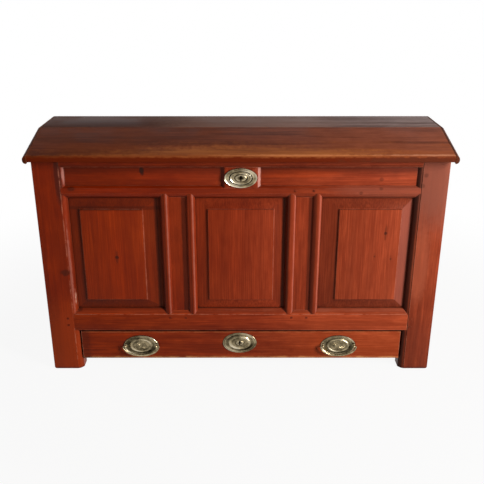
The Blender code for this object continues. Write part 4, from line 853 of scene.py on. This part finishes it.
plates = {
    "chest_escutcheon": {"rings": chestRings, "keyhole": True, "age": 0.0, "lean": 0.35},
    "drawer_escutcheon": {"rings": drawerRings, "keyhole": True, "age": 0.08, "lean": 0.40},
    "left_pull_plate": {"rings": pullRings, "posts": 0.045, "flutes": (0.20, 0.44, 0.0008), "age": 0.14, "lean": 0.40},
    "right_pull_plate": {"rings": pullRings, "posts": 0.045, "flutes": (0.20, 0.44, 0.0008), "age": 0.0, "lean": 0.25},
}
pullAxisRise = 0.0020  # the posts stand this far above the middle of their plate


def cutAway(piece, cutter):
    selectOnly(piece)
    bpy.ops.object.modifier_add(type="BOOLEAN")
    hole = piece.modifiers[-1]
    hole.operation = "DIFFERENCE"
    hole.solver = "EXACT"
    hole.object = cutter
    bpy.ops.object.modifier_apply(modifier=hole.name)
    selectOnly(cutter)
    bpy.ops.object.delete()


def roundCutter(x, z, y, radius):
    bpy.ops.object.select_all(action="DESELECT")
    bpy.ops.mesh.primitive_cylinder_add(vertices=32, radius=radius, depth=0.03, location=(x, y, z), rotation=(math.pi / 2, 0.0, 0.0))
    return bpy.context.object


def slotCutter(x, y, low, high, width):
    bpy.ops.object.select_all(action="DESELECT")
    bpy.ops.mesh.primitive_cube_add(size=1.0, location=(x, y, (low + high) / 2), scale=(width * 2, 0.03, high - low))
    return bpy.context.object


# share of the oval that a point of the plate lies at
def ovalShare(point, middle, reach):
    return math.hypot((point.x - middle.x) / reach[0], (point.z - middle.z) / reach[1])


# painted highlight and shade on the brass: paler towards the upper right and the lower left of each plate, where the
# light glints, and darker the other way
def paintedGlint(point, middle, share, lean):
    turn = math.atan2(point.z - middle.z, point.x - middle.x)
    return -lean * math.sin(2 * turn) * min(max((share - 0.25) / 0.25, 0.0), 1.0)


def tarnishAt(rings, share):
    for (outer, _, before), (inner, _, after) in zip(rings, rings[1:]):
        if share >= inner:
            part = min(max((outer - share) / (outer - inner), 0.0), 1.0)
            return before + (after - before) * part
    return rings[-1][2]


def raisedPlate(node, plate):
    low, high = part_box(node)
    middle = (low + high) / 2
    reach = ((high.x - low.x) / 2, (high.z - low.z) / 2)
    seat = high.y
    centre = (middle.x, seat, middle.z)
    bpy.ops.object.select_all(action="DESELECT")
    bpy.ops.mesh.primitive_circle_add(vertices=96, radius=1.0, location=centre, rotation=(math.pi / 2, 0.0, 0.0))
    made = bpy.context.object
    made.name = made.data.name = pieceName(node)
    bpy.ops.object.transform_apply(location=True, rotation=True, scale=True)
    bpy.ops.object.mode_set(mode="EDIT")
    bpy.ops.mesh.select_mode(type="VERT")
    bpy.ops.mesh.select_all(action="SELECT")
    bpy.ops.transform.resize(value=(reach[0], 1.0, reach[1]), center_override=centre)
    share, level = 1.0, 0.0
    for nextShare, nextLevel, _ in plate["rings"]:
        bpy.ops.mesh.extrude_region_move(TRANSFORM_OT_translate={"value": (0.0, (level - nextLevel) * 0.001, 0.0)})
        bpy.ops.transform.resize(value=(nextShare / share, 1.0, nextShare / share), center_override=centre)
        share, level = nextShare, nextLevel
    bpy.ops.mesh.edge_face_add()
    bpy.ops.mesh.select_all(action="DESELECT")
    bpy.ops.object.mode_set(mode="OBJECT")
    for point in made.data.vertices:
        point.select = abs(point.co.y - seat) < 0.00001
    bpy.ops.object.mode_set(mode="EDIT")
    bpy.ops.mesh.edge_face_add()
    bpy.ops.mesh.select_all(action="SELECT")
    bpy.ops.mesh.normals_make_consistent(inside=False)
    bpy.ops.mesh.select_all(action="DESELECT")
    bpy.ops.object.mode_set(mode="OBJECT")
    if "flutes" in plate:  # petals round the dome: two points up, two left down
        start, stop, lift = plate["flutes"]
        for point in made.data.vertices:
            turn = math.atan2((point.co.z - middle.z) / reach[1], (point.co.x - middle.x) / reach[0])
            petal = round(turn / (2 * math.pi) * 96) % 4 in (0, 1)
            point.select = petal and start - 0.005 < ovalShare(point.co, middle, reach) < stop + 0.005
        bpy.ops.object.mode_set(mode="EDIT")
        bpy.ops.transform.translate(value=(0.0, -lift, 0.0))
        bpy.ops.object.mode_set(mode="OBJECT")
    if "keyhole" in plate:
        eyeZ = middle.z + keyhole["rise"]
        cutAway(made, roundCutter(middle.x, eyeZ, seat, keyhole["eye"]))
        cutAway(made, slotCutter(middle.x, seat, eyeZ - keyhole["drop"], eyeZ, keyhole["slot"]))
    if "posts" in plate:
        for way in (-1, 1):
            cutAway(made, roundCutter(middle.x + way * plate["posts"], middle.z + pullAxisRise, seat, 0.0024))
    dark = made.data.attributes.new("tarnish", "FLOAT", "POINT")
    for point in made.data.vertices:
        share = ovalShare(point.co, middle, reach)
        level = tarnishAt(plate["rings"], share) + plate["age"] + paintedGlint(point.co, middle, share, plate["lean"])
        dark.data[point.index].value = min(max(level, -0.6), 1.0)
    selectOnly(made)
    bpy.ops.object.shade_smooth_by_angle(angle=math.radians(42))
    return made


for node, plate in plates.items():
    made = raisedPlate(node, plate)
    made.data.materials.clear()
    made.data.materials.append(brassFinish)
    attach(made, bodyOfNode[node])
    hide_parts(node)
    pieces[node] = made
print("oval plates raised:", len(plates))


# bails: the CAD wire made round and thicker towards the middle of its drop
bailShape = {"swell": 0.0007, "levels": 1}
for node in ("left_bail", "right_bail"):
    bail = copyOfNode(node)
    bpy.ops.mesh.tris_convert_to_quads()
    bpy.ops.mesh.select_all(action="DESELECT")
    bpy.ops.object.mode_set(mode="OBJECT")
    low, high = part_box(node)
    for share in (0.35, 0.6, 0.8):  # each lower stretch is fattened a little more
        for point in bail.data.vertices:
            point.select = point.co.z < high.z - 0.0035 - share * (high.z - low.z - 0.0035)
        bpy.ops.object.mode_set(mode="EDIT")
        bpy.ops.transform.shrink_fatten(value=bailShape["swell"] / 3)
        bpy.ops.object.mode_set(mode="OBJECT")
    bpy.ops.object.modifier_add(type="SUBSURF")
    smooth = bail.modifiers[-1]
    smooth.levels = smooth.render_levels = bailShape["levels"]
    bpy.ops.object.modifier_apply(modifier=smooth.name)
    bpy.ops.object.shade_smooth()
    bail.data.materials.clear()
    bail.data.materials.append(brassFinish)
    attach(bail, bodyOfNode[node])
    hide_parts(node)
    pieces[node] = bail
print("bails rounded")


for node, solid in frame["nodes"].items():
    if node in pieces:
        continue
    for slot in solid.material_slots:
        slot.material = brassFinish if "pull" in node else ironFinish
print("metal nodes finished")


# oak pegs through the joints of the front frame, left a little proud
pegs = {
    "radius": 0.0040,
    "proud": 0.0006,
    "postFace": -0.2103,
    "railFace": -0.2093,
    "onPosts": [(-0.4958, 0.1657), (-0.4950, 0.1447), (0.4879, 0.1641), (0.4875, 0.1382)],
    "onRails": [(-0.2016, 0.1675), (-0.1577, 0.1675), (0.1451, 0.1678), (0.1876, 0.1678), (0.1449, 0.5463), (0.1943, 0.5463)],
}


def makePeg():
    bpy.ops.object.select_all(action="DESELECT")
    bpy.ops.mesh.primitive_cylinder_add(vertices=10, radius=pegs["radius"], depth=2 * pegs["proud"], rotation=(math.pi / 2, 0.0, 0.0))
    peg = bpy.context.object
    bpy.ops.object.transform_apply(location=True, rotation=True, scale=True)
    bpy.ops.object.mode_set(mode="EDIT")
    bpy.ops.mesh.select_all(action="DESELECT")
    bpy.ops.mesh.select_mode(type="FACE")
    bpy.ops.object.mode_set(mode="OBJECT")
    for side in peg.data.polygons:
        side.select = side.normal.y < -0.9
    bpy.ops.object.mode_set(mode="EDIT")
    bpy.ops.mesh.inset(thickness=pegs["radius"] * 0.22)
    bpy.ops.transform.translate(value=(0.0, -pegs["proud"] * 0.5, 0.0))
    bpy.ops.mesh.inset(thickness=pegs["radius"] * 0.35)
    bpy.ops.transform.translate(value=(0.0, -pegs["proud"] * 0.2, 0.0))
    bpy.ops.mesh.select_all(action="SELECT")
    bpy.ops.transform.resize(value=(1.0, 1.0, 0.88))
    bpy.ops.object.mode_set(mode="OBJECT")
    return peg


pegSeed = makePeg()
pegWood = woodFinish("pegWood", redPolish, "Y", (0.31, 0.12, 0.4), 0.62)
spots = [(x, pegs["postFace"], z) for x, z in pegs["onPosts"]] + [(x, pegs["railFace"], z) for x, z in pegs["onRails"]]
for number, spot in enumerate(spots):
    peg = pegSeed.copy()
    peg.data = pegSeed.data.copy()
    peg.name = peg.data.name = "framePeg" + str(number + 1)
    scene.collection.objects.link(peg)
    peg.location = spot
    peg.rotation_euler = (0.0, math.radians(47 * number), 0.0)
    selectOnly(peg)
    bpy.ops.object.transform_apply(location=True, rotation=True, scale=True)
    bpy.ops.object.shade_smooth_by_angle(angle=math.radians(30))
    peg.data.materials.append(pegWood)
    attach(peg, bodyOfNode["front_bottom_rail"])
selectOnly(pegSeed)
bpy.ops.object.delete()
print("pegs driven:", len(spots))


# slotted screws on the hinge leaves, at the back of the chest
hingeScrews = {"radius": 0.0033, "height": 0.0011, "slot": 0.0005, "face": 0.2320}


def makeScrew():
    bpy.ops.object.select_all(action="DESELECT")
    bpy.ops.mesh.primitive_cylinder_add(vertices=20, radius=hingeScrews["radius"], depth=hingeScrews["height"], rotation=(math.pi / 2, 0.0, 0.0))
    screw = bpy.context.object
    bpy.ops.object.transform_apply(location=True, rotation=True, scale=True)
    bpy.ops.object.mode_set(mode="EDIT")
    bpy.ops.mesh.select_mode(type="FACE")
    bpy.ops.mesh.select_all(action="DESELECT")
    bpy.ops.object.mode_set(mode="OBJECT")
    for side in screw.data.polygons:
        side.select = side.normal.y > 0.9
    bpy.ops.object.mode_set(mode="EDIT")
    bpy.ops.mesh.bevel(offset=0.0004, segments=2, affect="EDGES")
    bpy.ops.object.mode_set(mode="OBJECT")
    cutAway(screw, slotCutter(0.0, hingeScrews["height"] / 2 + 0.0145, -0.006, 0.006, hingeScrews["slot"] / 2))
    return screw


screwSeed = makeScrew()
screwSpots = []
for way in (-1, 1):
    low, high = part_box("right_lower_hinge_leaf" if way > 0 else "left_lower_hinge_leaf")
    for x in (low.x + 0.012, high.x - 0.012):
        screwSpots.append((x, low.z + 0.012, "carcass"))
for number, (x, z, body) in enumerate(screwSpots):
    screw = screwSeed.copy()
    screw.data = screwSeed.data.copy()
    screw.name = screw.data.name = "hingeScrew" + str(number + 1)
    scene.collection.objects.link(screw)
    screw.location = (x, hingeScrews["face"] + hingeScrews["height"] / 2, z)
    screw.rotation_euler = (0.0, math.radians(20 + 53 * number), 0.0)
    selectOnly(screw)
    bpy.ops.object.transform_apply(location=True, rotation=True, scale=True)
    bpy.ops.object.shade_smooth_by_angle(angle=math.radians(30))
    screw.data.materials.clear()
    screw.data.materials.append(ironFinish)
    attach(screw, body)
selectOnly(screwSeed)
bpy.ops.object.delete()
print("hinge screws set:", len(screwSpots))


# floor, background and light
stage = {
    "floorSize": 16.0,
    "floorColour": (0.45, 0.44, 0.43),
    "shadowShare": 0.08,
    "fade": (0.7, 1.7),  # beyond this the floor is plain white
    "ambient": (0.95, 0.97, 1.0),
    "ambientStrength": 0.03,
}

bpy.ops.object.select_all(action="DESELECT")
bpy.ops.mesh.primitive_plane_add(size=stage["floorSize"], location=(0.0, 0.0, -0.0006))
floor = bpy.context.object
floor.name = "floor"
paleFloor = bpy.data.materials.new("paleFloor")
paleFloor.use_nodes = True
tree = paleFloor.node_tree
seen = addNode(tree, "ShaderNodeLightPath").outputs
direct = calc(tree, "MAXIMUM", calc(tree, "MAXIMUM", seen["Is Camera Ray"], seen["Is Glossy Ray"]), seen["Is Transmission Ray"])
lit = tree.nodes["Principled BSDF"]
lit.inputs["Base Color"].default_value = stage["floorColour"] + (1.0,)
lit.inputs["Roughness"].default_value = 0.9
lit.inputs["Specular IOR Level"].default_value = 0.0
glow = addNode(tree, "ShaderNodeEmission", {"Color": (1.0, 1.0, 1.0, 1.0), "Strength": 1.0}).outputs[0]
spot = addNode(tree, "ShaderNodeTexCoord").outputs["Object"]
away = addNode(tree, "ShaderNodeVectorMath", {0: spot}, operation="LENGTH").outputs["Value"]
plain = remap(tree, away, stage["fade"][0], stage["fade"][1], 1.0 - stage["shadowShare"], 1.0)
share = calc(tree, "MULTIPLY", direct, plain)
mixed = addNode(tree, "ShaderNodeMixShader", {0: share, 1: lit.outputs[0], 2: glow}).outputs[0]
tree.links.new(mixed, tree.nodes["Material Output"].inputs["Surface"])
floor.data.materials.append(paleFloor)

world = bpy.data.worlds.new("paleRoom")
scene.world = world
world.use_nodes = True
tree = world.node_tree
seen = addNode(tree, "ShaderNodeLightPath").outputs
direct = calc(tree, "MAXIMUM", calc(tree, "MAXIMUM", seen["Is Camera Ray"], seen["Is Glossy Ray"]), seen["Is Transmission Ray"])
soft = tree.nodes["Background"]
soft.inputs["Color"].default_value = stage["ambient"] + (1.0,)
soft.inputs["Strength"].default_value = stage["ambientStrength"]
white = addNode(tree, "ShaderNodeBackground", {"Color": (1.0, 1.0, 1.0, 1.0), "Strength": 1.0}).outputs[0]
mixed = addNode(tree, "ShaderNodeMixShader", {0: direct, 1: soft.outputs[0], 2: white}).outputs[0]
tree.links.new(mixed, tree.nodes["World Output"].inputs["Surface"])

lamps = {
    "windowLight": {"place": (2.45, -2.02, 1.45), "aim": (0.0, -0.1, 0.40), "size": (0.8, 2.2), "power": 185.0, "colour": (1.0, 0.97, 0.94)},
    "frontFill": {"place": (-0.4, -3.8, 2.6), "aim": (0.0, 0.0, 0.35), "size": (2.0, 1.6), "power": 5.0, "colour": (1.0, 0.98, 0.96)},
    "backLeft": {"place": (-3.2, 1.5, 1.1), "aim": (0.0, 0.2, 0.35), "size": (1.4, 1.4), "power": 34.0, "colour": (1.0, 0.98, 0.96)},
    "backRight": {"place": (3.2, 1.5, 1.1), "aim": (0.0, 0.2, 0.35), "size": (1.4, 1.4), "power": 34.0, "colour": (1.0, 0.98, 0.96)},
}
for name, lamp in lamps.items():
    data = bpy.data.lights.new(name, "AREA")
    data.shape = "RECTANGLE"
    data.size, data.size_y = lamp["size"]
    data.energy = lamp["power"]
    data.color = lamp["colour"]
    made = bpy.data.objects.new(name, data)
    scene.collection.objects.link(made)
    made.location = lamp["place"]
    aim = made.location.copy()
    for axis in range(3):
        aim[axis] = lamp["aim"][axis] - made.location[axis]
    made.rotation_euler = aim.to_track_quat("-Z", "Y").to_euler()
print("stage lit")

bpy.context.view_layer.update()
